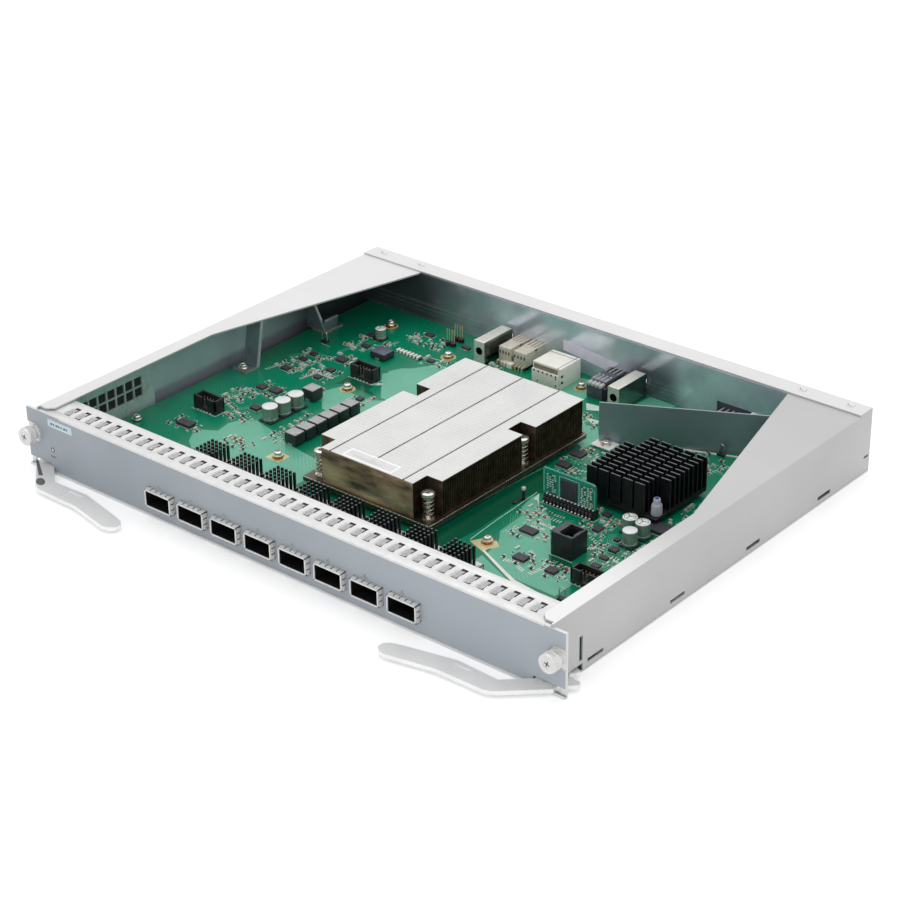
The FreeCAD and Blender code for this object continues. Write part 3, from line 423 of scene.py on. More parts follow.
# darker green without traces, for painted shadows on the board
finish["shadowMask"] = makeSolderMask("shadowMask", "01573C", "026244", "0A7454", 0.0)
finish["copperPlane"] = makeSolderMask("copperPlane", "5CB294", "74C3A6", "9FD8C2", 0.3)
finish["cardMask"] = makeSolderMask("cardMask", "147F6C", "1C8E78", "5DB9A5", 0.8)
print("materials ready:", len(finish))

# ---- mesh helpers, all in mm until a piece is finished


def span(node):
    low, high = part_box(node)
    return Vector(low) * 1000, Vector(high) * 1000


def paint(verts, slotIndex):
    for vert in verts:
        for face in vert.link_faces:
            face.material_index = slotIndex


# every edge once, always in the same order
def edgesOf(verts):
    return list(dict.fromkeys(edge for vert in verts for edge in vert.link_edges))


def addBox(form, low, high, slotIndex=0, bevel=0.0, segments=2):
    low = Vector(low)
    high = Vector(high)
    size = high - low
    matrix = Matrix.Translation((low + high) / 2) @ Matrix.Diagonal((size.x, size.y, size.z, 1.0))
    made = bmesh.ops.create_cube(form, size=1.0, matrix=matrix)["verts"]
    paint(made, slotIndex)
    if bevel:
        bmesh.ops.bevel(form, geom=edgesOf(made), offset=bevel, affect="EDGES", segments=segments,
                profile=0.5, material=-1)
    return made


def alongAxis(axis):
    return {"X": Matrix.Rotation(math.radians(90), 4, "Y"), "Y": Matrix.Rotation(math.radians(-90), 4, "X"),
            "Z": Matrix.Identity(4)}[axis]


def addRod(form, start, length, radius, axis="Z", slotIndex=0, segments=24, bevel=0.0):
    matrix = Matrix.Translation(start) @ alongAxis(axis) @ Matrix.Translation((0, 0, length / 2))
    made = bmesh.ops.create_cone(form, cap_ends=True, segments=segments, radius1=radius, radius2=radius,
            depth=length, matrix=matrix)["verts"]
    paint(made, slotIndex)
    if bevel:
        edges = [edge for edge in edgesOf(made) if len(edge.link_faces) == 2
                and edge.calc_face_angle(0) > 0.9]
        bmesh.ops.bevel(form, geom=edges, offset=bevel, affect="EDGES", segments=2, profile=0.5,
                material=-1)
    return made


def addTurned(form, profile, start, axis="Z", slotIndex=0, steps=32):
    own = bmesh.new()
    verts = [own.verts.new((radius, 0, height)) for radius, height in profile]
    edges = [own.edges.new(pair) for pair in zip(verts, verts[1:])]
    bmesh.ops.spin(own, geom=verts + edges, cent=(0, 0, 0), axis=(0, 0, 1), angle=math.tau, steps=steps,
            use_merge=True)
    bmesh.ops.remove_doubles(own, verts=own.verts, dist=0.0005)
    joinInto(form, own, slotIndex, Matrix.Translation(start) @ alongAxis(axis))


# closes a part made on its own, gives it a material and a place, and joins it to the form
def joinInto(form, own, slotIndex=0, place=Matrix()):
    bmesh.ops.recalc_face_normals(own, faces=own.faces)
    for face in own.faces:
        face.material_index = slotIndex
    bmesh.ops.transform(own, matrix=place, verts=own.verts)
    mesh = bpy.data.meshes.new("passing")
    own.to_mesh(mesh)
    own.free()
    form.from_mesh(mesh)
    bpy.data.meshes.remove(mesh)


def addCoil(form, start, radius, wire, length, turns, axis="Z", slotIndex=0):
    own = bmesh.new()
    made = bmesh.ops.create_circle(own, cap_ends=False, segments=8, radius=wire,
            matrix=Matrix.Translation((radius, 0, 0)) @ Matrix.Rotation(math.radians(90), 4, "X"))["verts"]
    steps = int(turns * 20)
    rise = (length - 2 * wire) / steps
    bmesh.ops.spin(own, geom=made + edgesOf(made), cent=(0, 0, 0), axis=(0, 0, 1), dvec=(0, 0, rise),
            angle=math.tau * turns, steps=steps, use_merge=False)
    bmesh.ops.holes_fill(own, edges=[edge for edge in own.edges if edge.is_boundary])
    joinInto(form, own, slotIndex, Matrix.Translation(start) @ alongAxis(axis)
            @ Matrix.Translation((0, 0, wire)))


def addSlab(form, points, thick, slotIndex=0):
    own = bmesh.new()
    face = own.faces.new([own.verts.new(point) for point in points])
    grown = bmesh.ops.extrude_face_region(own, geom=[face])["geom"]
    corners = [item for item in grown if isinstance(item, bmesh.types.BMVert)]
    bmesh.ops.translate(own, vec=thick, verts=corners)
    joinInto(form, own, slotIndex)


boardTop = 8   # upper face of the main board


def addPad(form, points, thick, slotIndex=0):
    addSlab(form, [(x, y, boardTop) for x, y in points], (0, 0, thick), slotIndex)


# a flat plate cut into cells along both directions, the cells inside a window left out
def addPierced(form, place, uRange, vRange, windows, slotIndex=0):
    us = sorted({*uRange, *(value for window in windows for value in window[:2])})
    vs = sorted({*vRange, *(value for window in windows for value in window[2:])})
    for v0, v1 in zip(vs, vs[1:]):
        start = us[0]
        for u0, u1 in zip(us, us[1:]):
            middle = ((u0 + u1) / 2, (v0 + v1) / 2)
            inWindow = any(w[0] < middle[0] < w[1] and w[2] < middle[1] < w[3] for w in windows)
            if inWindow and start < u0:
                addBox(form, *place(start, u0, v0, v1), slotIndex)
            if inWindow:
                start = u1
        if start < us[-1]:
            addBox(form, *place(start, us[-1], v0, v1), slotIndex)


def addTurnedBox(form, place, size, slotIndex):
    own = bmesh.new()
    bmesh.ops.create_cube(own, size=1, matrix=place @ Matrix.Diagonal((*size, 1)))
    joinInto(form, own, slotIndex)


def addCross(form, centre, axis, reach, wide, deep, slotIndex):
    for angle in (20, 110):
        turn = Matrix.Translation(centre) @ alongAxis(axis) @ Matrix.Rotation(math.radians(angle), 4, "Z")
        addTurnedBox(form, turn, (reach * 2, wide, deep), slotIndex)


sharpAngle, bevelAngle = 35, 38   # degrees


def finishPiece(form, name, materials, replaced=(), body="case", bevel=0.0):
    bmesh.ops.scale(form, vec=(0.001, 0.001, 0.001), verts=form.verts)
    mesh = bpy.data.meshes.new(name)
    form.to_mesh(mesh)
    form.free()
    for material in materials:
        mesh.materials.append(finish[material])
    mesh.polygons.foreach_set("use_smooth", [True] * len(mesh.polygons))
    mesh.set_sharp_from_angle(angle=math.radians(sharpAngle))
    piece = bpy.data.objects.new(name, mesh)
    bpy.context.scene.collection.objects.link(piece)
    if bevel:
        softened = piece.modifiers.new("edges", "BEVEL")
        softened.width = bevel / 1000
        softened.segments = 2
        softened.limit_method = "ANGLE"
        softened.angle_limit = math.radians(bevelAngle)
        softened.harden_normals = True
    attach(piece, body)
    if replaced:
        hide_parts(*replaced)
    return piece


def softCopy(node, name, material, bevel, slotName):
    form = bmesh.new()
    form.from_mesh(frame["nodes"][node].data)
    bmesh.ops.remove_doubles(form, verts=form.verts, dist=0.000002)
    bmesh.ops.dissolve_limit(form, angle_limit=math.radians(1.0), verts=form.verts, edges=form.edges)
    for face in form.faces:
        face.material_index = 0
    bmesh.ops.scale(form, vec=(1000, 1000, 1000), verts=form.verts)
    return finishPiece(form, name, [material], (node,), frame["nodes"][node]["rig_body"], bevel)


# ---- sheet metal, taken over from the frame with its edges broken

sheetPieces = {
    "bottom_tray": ("trayFloor", "satinCaseSteel", 0.18, "case_steel"),
    "right_side_cover": ("rightCover", "satinCaseSteel", 0.22, "case_steel"),
    "left_side_cover": ("leftCover", "satinCaseSteel", 0.22, "case_steel"),
    "rear_frame": ("rearWall", "satinCaseSteel", 0.2, "case_steel"),
    "panel_ears": ("panelEars", "tinPlatedSpring", 0.15, "case_steel"),
    "air_baffle": ("airBaffle", "galvanisedSheet", 0.15, "baffle_steel"),
    "front_panel": ("frontPanel", "powderCoatPanel", 0.2, "panel_paint"),
    "left_guide_block": ("leftGuideBlock", "castZinc", 0.25, "guide_zinc"),
    "right_guide_block": ("rightGuideBlock", "castZinc", 0.25, "guide_zinc"),
    "left_ejector": ("leftEjector", "satinLeverMetal", 0.35, "lever_steel"),
    "right_ejector": ("rightEjector", "satinLeverMetal", 0.35, "lever_steel"),
    "card_socket": ("cardSocket", "blackMoulding", 0.15, "black_plastic"),
    "heatsink_base": ("heatsinkPlate", "shadedPlate", 0.3, "sink_nickel"),
}


def insideFaces(piece, rule, material):
    mesh = piece.data
    mesh.materials.append(finish[material])
    for face in mesh.polygons:
        if rule(face.center * 1000, face.normal):
            face.material_index = len(mesh.materials) - 1


def makeSheetPieces():
    made = {node: softCopy(node, *row) for node, row in sheetPieces.items()}
    low, high = span("right_side_cover")
    right, left = made["right_side_cover"], made["left_side_cover"]
    insideFaces(right, lambda at, way: way.x < -0.5 and at.z < high.z - 1.3 and at.x < high.x - 0.6
            or way.z < -0.5, "galvanisedSheet")
    # the right flange's top faces take the flange finish, lightened towards the front as painted sheen
    insideFaces(right, lambda at, way: way.z > 0.5 and at.z > high.z - 2.0, "flangeSteel")
    insideFaces(left, lambda at, way: way.x > 0.5 and at.z < high.z - 1.3 and at.x > -high.x + 0.6
            or way.z < -0.5, "leftWallSheet")
    # top faces of the left flange and of the rear strip take the lit copy of the lacquer: painted light
    insideFaces(left, lambda at, way: way.z > 0.5 and at.z > high.z - 2.0, "litCaseSteel")
    insideFaces(made["rear_frame"], lambda at, way: way.z > 0.5, "litCaseSteel")
    insideFaces(made["bottom_tray"], lambda at, way: way.z > 0.5 and at.y > 3.0, "galvanisedSheet")
    # the tray's front lip and the panel's edge faces take the lit copy too: bare edges, brightened as
    # painted light
    insideFaces(made["bottom_tray"], lambda at, way: at.y < 0.1, "litCaseSteel")
    insideFaces(made["front_panel"], lambda at, way: abs(way.y) < 0.5, "litCaseSteel")
    for side in ("left", "right"):
        # the levers' side faces take the bright rim finish: painted highlight
        insideFaces(made[side + "_ejector"], lambda at, way: abs(way.z) < 0.5, "brightRim")
        low, high = span(side + "_guide_block")
        block = made[side + "_guide_block"]
        insideFaces(block, lambda at, way: way.x > 0.5 and at.x > high.x - 0.2, "lappedZinc")
        # faces inside the guide block's opening take the dark cage-inside finish: painted shade
        insideFaces(block, lambda at, way: abs(way.y) < 0.5 and low.x + 1 < at.x < high.x - 1
                and low.z + 1 < at.z < high.z - 1, "cageInside")
    print("sheet pieces:", len(made))


makeSheetPieces()

plainNodes = {
    "switch_chip": "nickelScrew", "control_chip": "epoxyPackage", "pivot_studs": "nickelScrew",
    "port_connectors": "blackMoulding", "light_pipes": "clearAcrylic",
    "board_standoffs": "turnedBrass",
}


def dressNodes():
    for node, name in plainNodes.items():
        materials = frame["nodes"][node].data.materials
        materials.clear()
        materials.append(finish[name])
    print("plain nodes dressed:", len(plainNodes))


dressNodes()

# ---- board, inner rear wall, vent plate, wall brackets, rivets

boardPlate = {"side": 187}
rearSheet = {"front": 286.4, "thick": 0.8, "side": 189.75, "top": 39.97}
ventPlate = {"left": -189.85, "thick": 0.35, "front": 21.5, "rear": 91.8, "low": 4.6, "top": 33.6,
    "corner": 3, "columns": 8, "firstHole": 76, "pitch": 7.3, "hole": 6.2}


def makeBoardPlate():
    low, high = span("main_board")
    form = bmesh.new()
    side = boardPlate["side"]
    addBox(form, (-side, low.y, low.z), (side, high.y, high.z - 0.06), 1)
    addBox(form, (-side + 0.1, low.y + 0.1, high.z - 0.06), (side - 0.1, high.y, high.z), 0)
    finishPiece(form, "boardPlate", ["solderMask", "laminateEdge"], ("main_board",))
    # dark green patches right of the heatsink, in front of the box header and in front of the jack: painted
    # shadows
    form = bmesh.new()
    addPad(form, ((50.5, 62), (64.5, 66), (66.5, 92), (65.5, 116), (64.2, 140), (69, 149), (71, 156),
            (50.5, 172)), 0.01)
    addPad(form, ((-119, 178.5), (-113, 183), (-100, 181), (-84.5, 180.5), (-97, 185), (-98, 191.5),
            (-119, 191.5)), 0.01)
    addPad(form, ((112.6, 97.4), (129.4, 97.4), (134, 89), (124, 84), (117.6, 91.6)), 0.016)
    finishPiece(form, "boardShadows", ["shadowMask"])
    print("board: 2")


def makeRearSheet():
    front = rearSheet["front"]
    back = front + rearSheet["thick"]
    form = bmesh.new()
    windows = [(-69.6, -64, 13.2, 18.8), (35.4, 41, 13.2, 18.8), (-58.6, -49.3, 8, 20.05),
            (-46.8, -36.9, 8, 20.05), (13.1, 27.1, 8, 19), (-25, -11, 9, 16), (92.9, 119.1, 8, 20.35)]
    addPierced(form, lambda u0, u1, v0, v1: ((u0, front, v0), (u1, back, v1)),
            (-rearSheet["side"], rearSheet["side"]), (8.05, rearSheet["top"]), windows)
    finishPiece(form, "rearInnerWall", ["brightZincSheet"])
    form = bmesh.new()
    addSlab(form, [(-23.3, front - 0.12, 26.7), (19.9, front - 0.12, 22.7), (11.2, front - 0.12, 15.5),
            (-23.3, front - 0.12, 19.6)], (0, 0.1, 0))
    finishPiece(form, "blankPlate", ["blankLabel"])
    print("rear sheet and blank plate: 2")


def makeVentPlate():
    form = bmesh.new()
    windows = []
    hole = ventPlate["hole"]
    for column in range(ventPlate["columns"]):
        y = ventPlate["firstHole"] - ventPlate["pitch"] * column
        windows += [(y, y + hole, z, z + hole) for z in (22.8, 15.8)]
    rear, top, corner = ventPlate["rear"], ventPlate["top"], ventPlate["corner"]
    left, thick = ventPlate["left"], ventPlate["thick"]
    place = lambda u0, u1, v0, v1: ((left, u0, v0), (left + thick, u1, v1))
    addPierced(form, place, (ventPlate["front"], rear - corner), (ventPlate["low"], top), windows)
    addBox(form, *place(rear - corner, rear, ventPlate["low"], top - corner))
    arc = [(left, rear - corner + corner * math.cos(angle), top - corner + corner * math.sin(angle))
            for angle in (math.radians(15 * step) for step in range(7))]
    addSlab(form, [(left, rear - corner, top - corner)] + arc, (thick, 0, 0))
    finishPiece(form, "ventPlate", ["spangledSheet"])
    form = bmesh.new()
    for y0, y1, z0, z1 in windows:
        addBox(form, (-190.8, y0 - 0.02, z0 - 0.02), (-190.6, y1 + 0.02, z1 + 0.02), 0)
    finishPiece(form, "ventScreen", ["dustScreen"])
    print("vent plate:", len(windows), "windows")


def makeWallBrackets():
    form = bmesh.new()
    for front, rear, right in ((153.2, 165.8, -172), (228.4, 245.8, -173.2)):
        addBox(form, (right - 11.6, front, boardTop + 0.05), (right, rear, 9.25), 0, 0.12)
        addBox(form, (right - 11.4, front - 0.05, boardTop), (right + 0.12, rear - 0.1, 8.5), 2, 0.05)
    addSlab(form, [(-184.6, 164.6, 9.2), (-172.9, 164.6, 9.2), (-172.9, 170, 38.8), (-184.6, 170, 38.8)],
            (0, 1.1, 0), 0)
    addSlab(form, [(-172.95, 164.3, 9.2), (-172.15, 164.3, 9.2), (-172.15, 169.7, 38.8),
            (-172.95, 169.7, 38.8)], (0, 1.8, 0), 1)
    addSlab(form, [(-189.7, 229, 8.6), (-174.2, 229, 8.6), (-182.4, 229, 24), (-188.6, 229, 38),
            (-189.7, 229, 38)], (0, 1.1, 0), 0)
    addSlab(form, [(-174.25, 228.8, 8.6), (-173.4, 228.8, 8.6), (-181.6, 228.8, 24), (-187.9, 228.8, 38),
            (-188.7, 228.8, 38), (-182.45, 228.8, 24)], (0, 1.6, 0), 1)
    addBox(form, (-174.6, 229, 9), (-173.5, 240.6, 16.6), 0, 0.1)
    addBox(form, (-175, 229.4, 16.4), (-173.3, 241.2, 17.2), 1, 0.2)
    finishPiece(form, "wallBrackets", ["bracketSteel", "brightEdge", "tanCeramic"],
            ("wall_brackets",))
    print("wall brackets: 2")


# countersunk rivets: a bright dimple with a dark crescent of painted shade on one side
def makeRivets():
    form = bmesh.new()
    low = span("frame_rivets")[0]
    for x in (-179.5, -147, 147, 179.5):
        at = Vector((x, 294.5, low.z))
        addTurned(form, [(0, 0.35), (1.1, 0.42), (1.9, 0.62), (2.3, 0.66), (2.6, 0.4), (2.6, 0), (0, 0)],
                at, "Z", 0, 28)
        for step in range(7):
            angle = math.radians(185 + 20 * step)
            addRod(form, at + Vector((math.cos(angle) * 1.75, math.sin(angle) * 1.75, 0.5)), 0.12, 0.34,
                    "Z", 1, 8)
    finishPiece(form, "frameRivets", ["litCaseSteel", "recessGrey"], ("frame_rivets",))
    print("rivets: 4")


makeBoardPlate()
makeRearSheet()
makeVentPlate()
makeWallBrackets()
makeRivets()

# ---- front: finger strip, cages, knobs, label field

strip = {"count": 41, "pitch": 8.62, "first": -171.2, "sheet": 0.3, "rise": 0.24, "left": -3.3,
    "right": 1.7, "end": 14.2}


# contact fingers: louvres held at the left edge, bowed up to a free right edge, each in its own window
def makeFingerStrip():
    low, high = span("emi_finger_strip")
    base = low.z
    top = base + strip["sheet"]
    form = bmesh.new()
    addBox(form, (low.x, low.y, base), (high.x, 6.3, top), 0, 0.08)
    addBox(form, (low.x, 16.5, base), (high.x, high.y, top), 0, 0.08)
    addBox(form, (-171, low.y - 0.55, 37.3), (186, low.y + 0.05, 38.75), 0, 0.2)
    edge = low.x
    for index in range(strip["count"]):
        centre = strip["first"] + index * strip["pitch"]
        left = centre + strip["left"]
        right = centre + strip["right"]
        addBox(form, (edge, 6.3, base), (left, 16.5, top), 0)
        edge = centre + 2.35
        addBox(form, (right, 7.9, base), (edge, 11.2, top - 0.01), 0)
        addBox(form, (right + 0.5, 6.6, base), (edge - 0.01, 7.9, top - 0.02), 0)
        addBox(form, (right + 0.55, 11.2, base), (edge - 0.01, 14.75, top - 0.02), 0)
        addBox(form, (left, 6.3, base), (left + 1.5, 16.5, top - 0.03), 0)
        points = []
        for step in range(6):
            share = step / 5
            points.append((left + (right - left) * share,
                    top - 0.02 + strip["rise"] * math.sin(share * 2.1) / math.sin(2.1) * share))
        own = bmesh.new()
        near = [own.verts.new((x, 6.65, z)) for x, z in points]
        far = [own.verts.new((x, strip["end"], z)) for x, z in points]
        for step in range(5):
            own.faces.new((near[step], near[step + 1], far[step + 1], far[step]))
        bmesh.ops.solidify(own, geom=own.faces[:], thickness=0.22)
        joinInto(form, own, 1)
    addBox(form, (edge, 6.3, base), (high.x, 16.5, top), 0)
    finishPiece(form, "fingerStrip", ["tinPlatedSpring", "brushedFinger"],
            ("emi_finger_strip",))
    # a black sheet under the finger windows: painted shade
    form = bmesh.new()
    addBox(form, (low.x + 6, 5.4, base - 0.7), (high.x - 6, 17.2, base - 0.05), 0)
    finishPiece(form, "stripShadeSheet", ["shadeBacking"])
    print("contact fingers:", strip["count"])


makeFingerStrip()

cage = {"fingersAcross": 5, "fingersDown": 3, "fingerLift": 0.3, "fingerGap": 0.75, "sheet": 0.25,
    "wall": 0.9, "lining": 0.04}


def addFinger(form, centre, wide, long, lift, turn):
    own = bmesh.new()
    bmesh.ops.create_grid(own, x_segments=1, y_segments=6, size=0.5)
    for vert in own.verts:
        share = vert.co.y + 0.5
        vert.co = Vector((vert.co.x * wide, (share - 0.5) * long, lift * math.sin(math.pi * share)))
    bmesh.ops.solidify(own, geom=own.faces, thickness=cage["sheet"])
    joinInto(form, own, 0, Matrix.Translation(centre) @ turn)


def makeCages():
    for number in range(1, 9):
        node = "port_cage_%d" % number
        low, high = span(node)
        low += Vector((0.3, 0, 0))
        high -= Vector((0.3, 0, 0.3))
        wall, inner = cage["wall"], cage["lining"]
        form = bmesh.new()
        addBox(form, (low.x, low.y, high.z - wall), high, 0, 0.12)
        addBox(form, low, (high.x, high.y, low.z + wall), 0, 0.12)
        addBox(form, (low.x, low.y, low.z), (low.x + wall, high.y, high.z), 0, 0.12)
        addBox(form, (high.x - wall, low.y, low.z), (high.x, high.y, high.z), 0, 0.12)
        addBox(form, (low.x, high.y - wall, low.z), high, 0, 0.12)
        addBox(form, (low.x + wall, low.y + 0.5, high.z - wall - inner), (high.x - wall, high.y - 1,
                high.z - wall), 1)
        addBox(form, (low.x + wall, low.y + 0.5, low.z + wall), (high.x - wall, high.y - 1,
                low.z + wall + inner), 1)
        addBox(form, (low.x + wall, low.y + 0.5, low.z + wall), (low.x + wall + inner, high.y - 1,
                high.z - wall), 1)
        addBox(form, (high.x - wall - inner, low.y + 0.5, low.z + wall), (high.x - wall, high.y - 1,
                high.z - wall), 1)
        front = low.y + 0.9
        long = -0.25 - front
        # a black sleeve round the cage's front, under its fingers, so that the gaps between the fingers
        # read dark: painted shade
        addBox(form, (low.x - 0.06, front, low.z), (high.x + 0.06, -0.3, high.z + 0.06), 2)
        bmesh.ops.delete(form, geom=[face for face in form.faces if face.material_index == 2
                and abs(face.normal.y) > 0.5], context="FACES")
        across = (high.x - low.x) / cage["fingersAcross"]
        for index in range(cage["fingersAcross"]):
            x = low.x + (index + 0.5) * across
            addFinger(form, Vector((x, front + long / 2, high.z + 0.05)), across - cage["fingerGap"], long,
                    cage["fingerLift"], Matrix.Identity(4))
        down = (high.z - low.z) / cage["fingersDown"]
        for index in range(cage["fingersDown"]):
            z = low.z + (index + 0.5) * down
            for x, way in ((high.x + 0.05, 90), (low.x - 0.05, -90)):
                addFinger(form, Vector((x, front + long / 2, z)), down - cage["fingerGap"], long,
                        cage["fingerLift"], Matrix.Rotation(math.radians(way), 4, "Y"))
        finishPiece(form, "portCage%d" % number, ["stampedCage", "cageInside", "blackMoulding"],
                (node,))
    print("cages: 8")


knob = {"ridges": 36, "recessReach": 1.7, "recessWide": 0.7, "coilRadius": 2.8, "coilWire": 0.28,
    "coilTurns": 5}


def makeKnobs():
    for side in ("left", "right"):
        low, high = span(side + "_captive_screw")
        centre = Vector(((low.x + high.x) / 2, 0, (low.z + high.z) / 2))
        radius = (high.x - low.x) / 2
        start = Vector((centre.x, low.y, centre.z))
        form = bmesh.new()
        profile = [(0, 0.55), (2.35, 0.55), (2.5, 0.1), (2.9, 0), (3.3, 0.12), (3.5, 0.3),
                (radius - 0.9, 0.3), (radius - 0.3, 0.55), (radius, 1.1), (radius, 1.5),
                (radius - 0.3, 1.65), (radius - 0.3, 4.75), (radius - 0.1, 4.9), (radius - 0.1, 5.2),
                (4.6, 5.2), (4.5, 1.8), (1.5, 1.8), (1.5, 13.6), (1.1, 14.1), (0, 14.1)]
        addTurned(form, profile, start, "Y", 0, 48)
        for index in range(knob["ridges"]):
            angle = math.tau * index / knob["ridges"]
            at = start + Vector((math.cos(angle) * (radius - 0.3), 1.7, math.sin(angle) * (radius - 0.3)))
            addRod(form, at, 3, 0.24, "Y", 0, 6)
        addCross(form, start + Vector((0, 0.53, 0)), "Y", knob["recessReach"], knob["recessWide"], 0.1, 1)
        finishPiece(form, side + "Knob", ["satinKnob", "recessGrey"],
                (side + "_captive_screw",), side + "_screw")

        form = bmesh.new()
        low, high = span(side + "_captive_spring")
        addCoil(form, (centre.x, low.y, centre.z), knob["coilRadius"], knob["coilWire"], high.y - low.y,
                knob["coilTurns"], "Y")
        coil = finishPiece(form, side + "KnobSpring", ["springWire"],
                (side + "_captive_spring",))
        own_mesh(coil)
    form = bmesh.new()
    low, high = span("screw_ferrules")
    for sign in (-1, 1):
        start = Vector((sign * 193.9, low.y, (low.z + high.z) / 2))
        addTurned(form, [(3.4, 3.2), (3.4, 0.15), (3.6, 0), (4, 0), (4.2, 0.2), (4.2, 3.4), (5, 3.5),
                (5, 4.5), (2.4, 4.5), (2.4, 9.2), (1.6, 9.2), (1.6, 3.2), (3.4, 3.2)], start, "Y", 0, 40)
    finishPiece(form, "screwFerrules", ["satinKnob"], ("screw_ferrules",))
    print("knobs, springs and ferrules: 5")


def makeFrontDetails():
    form = bmesh.new()
    addBox(form, (-181, -0.12, 30.6), (-160.5, 0.05, 35.4), 0, 0.05)
    for index, wide in enumerate((1.6, 1.1, 1.8, 1.3, 1, 1.7, 1.2)):   # plain dashes, no lettering
        addBox(form, (-178.6 + index * 2.2, -0.15, 32.2), (-178.6 + index * 2.2 + wide, -0.1, 33.5), 1,
                0.02)
    centre = Vector((-178.8, -0.1, 15.4))
    addTurned(form, [(0, -0.05), (0.75, -0.12), (0.85, 0.2), (0, 0.2)], centre, "Y", 2, 20)
    addTurned(form, [(1, 0.1), (1, -0.12), (1.45, -0.12), (1.55, 0.1)], centre, "Y", 3, 28)
    addBox(form, (-181, -0.06, 10.6), (-176.6, 0.05, 11.3), 3)
    finishPiece(form, "labelField", ["paleBlueFilm", "recessGrey", "litCaseSteel", "slateMoulding"])
    print("front details: 1")


# the left lever's oval recess drawn flat as painted shade and a dark strip along its outer edge, a dark tab
# behind each cover's slot as painted shade, the covers' rear corner
def makeLeverAndCoverDetails():
    form = bmesh.new()
    low = span("left_ejector")[1].z - 0.05
    tilt = Matrix.Translation((-172, -17, 0)) @ Matrix.Rotation(math.radians(-32), 4, "Z")
    # the oval: a flat dark patch standing in for the recess's shade, painted shade
    oval = [tilt @ Vector((4.6 * math.cos(step * math.tau / 28), 2.6 * math.sin(step * math.tau / 28), 0))
            for step in range(28)]
    addSlab(form, [(point.x, point.y, low) for point in oval], (0, 0, 0.1))
    # a dark strip along the lever's outer edge
    addSlab(form, [(-195, -0.4, low), (-193.2, 0, low), (-176.6, -11, low), (-178.6, -12.6, low)],
            (0, 0, 0.09))
    finishPiece(form, "leverDarkMarks", ["recessGrey"], (),
            frame["nodes"]["left_ejector"]["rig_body"])
    low, high = span("right_side_cover")
    form = bmesh.new()
    for sign in (-1, 1):
        # a black tab behind each side slot, so that the slot reads dark: painted shade
        near, far = sorted((sign * (high.x - 3.2), sign * (high.x - 2.6)))
        addBox(form, (near, 20.6, 6.2), (far, 27, 23.2), 0, 0.1)
        near, far = sorted((sign * (high.x - 1), sign * (high.x - 0.03)))
        addBox(form, (near, 293.4, 11.4), (far, 298.7, 17.4), 1, 0.1)
    finishPiece(form, "coverSlotShadesAndCorners", ["blackAnodised", "satinCaseSteel"])
    print("lever and cover details: 2")


makeCages()
makeKnobs()
makeFrontDetails()
makeLeverAndCoverDetails()

# ---- module heatsinks

moduleSink = {"columns": 5, "rows": 7, "pinWide": 1.25, "tip": 0.12, "fromLeft": 6, "fromRear": 3}


def makeModuleSinks():
    wide = moduleSink["pinWide"]
    for number in range(1, 9):
        node = "port_heatsink_%d" % number
        low, high = span(node)
        form = bmesh.new()
        addBox(form, low, (high.x, high.y, low.z + 1.4), 2, 0.15)
        low.x += moduleSink["fromLeft"]
        high.y -= moduleSink["fromRear"]
        addBox(form, low, (high.x, high.y, low.z + 1.9), 0, 0.15)
        stepX = (high.x - low.x - wide) / (moduleSink["columns"] - 1)
        stepY = (high.y - low.y - wide) / (moduleSink["rows"] - 1)
        for column in range(moduleSink["columns"]):
            for row in range(moduleSink["rows"]):
                x = low.x + column * stepX
                y = low.y + row * stepY
                addBox(form, (x, y, low.z + 1.7), (x + wide, y + wide, high.z - moduleSink["tip"]), 0)
                addBox(form, (x + 0.25, y + 0.25, high.z - moduleSink["tip"]),
                        (x + wide - 0.25, y + wide - 0.25, high.z), 1)
        finishPiece(form, "moduleSink%d" % number, ["blackAnodised", "bareAndLitPinTip", "stampedCage"],
                (node,))
    print("module heatsinks: 8")


makeModuleSinks()

# ---- main heatsink: folded fin stack, plate, spring screws

finStack = {"pitch": 1.5, "sheet": 0.3, "seams": (-24.5, 2.5, 30.3), "seamWide": 1.25, "seamLong": 1.2,
    "pocketWide": 11, "pocketLong": 12, "middle": 161.5, "labelEnd": 82}
sinkSpring = {"washer": 0.6, "radius": 3.15, "wire": 0.42, "turns": 4.6}


def finRange(y, low, high):
    front = low.y + finStack["pocketLong"]
    half = finStack["pocketLong"] / 2
    if y < front or abs(y - finStack["middle"]) < half:
        return low.x + finStack["pocketWide"], high.x - finStack["pocketWide"]
    return low.x, high.x


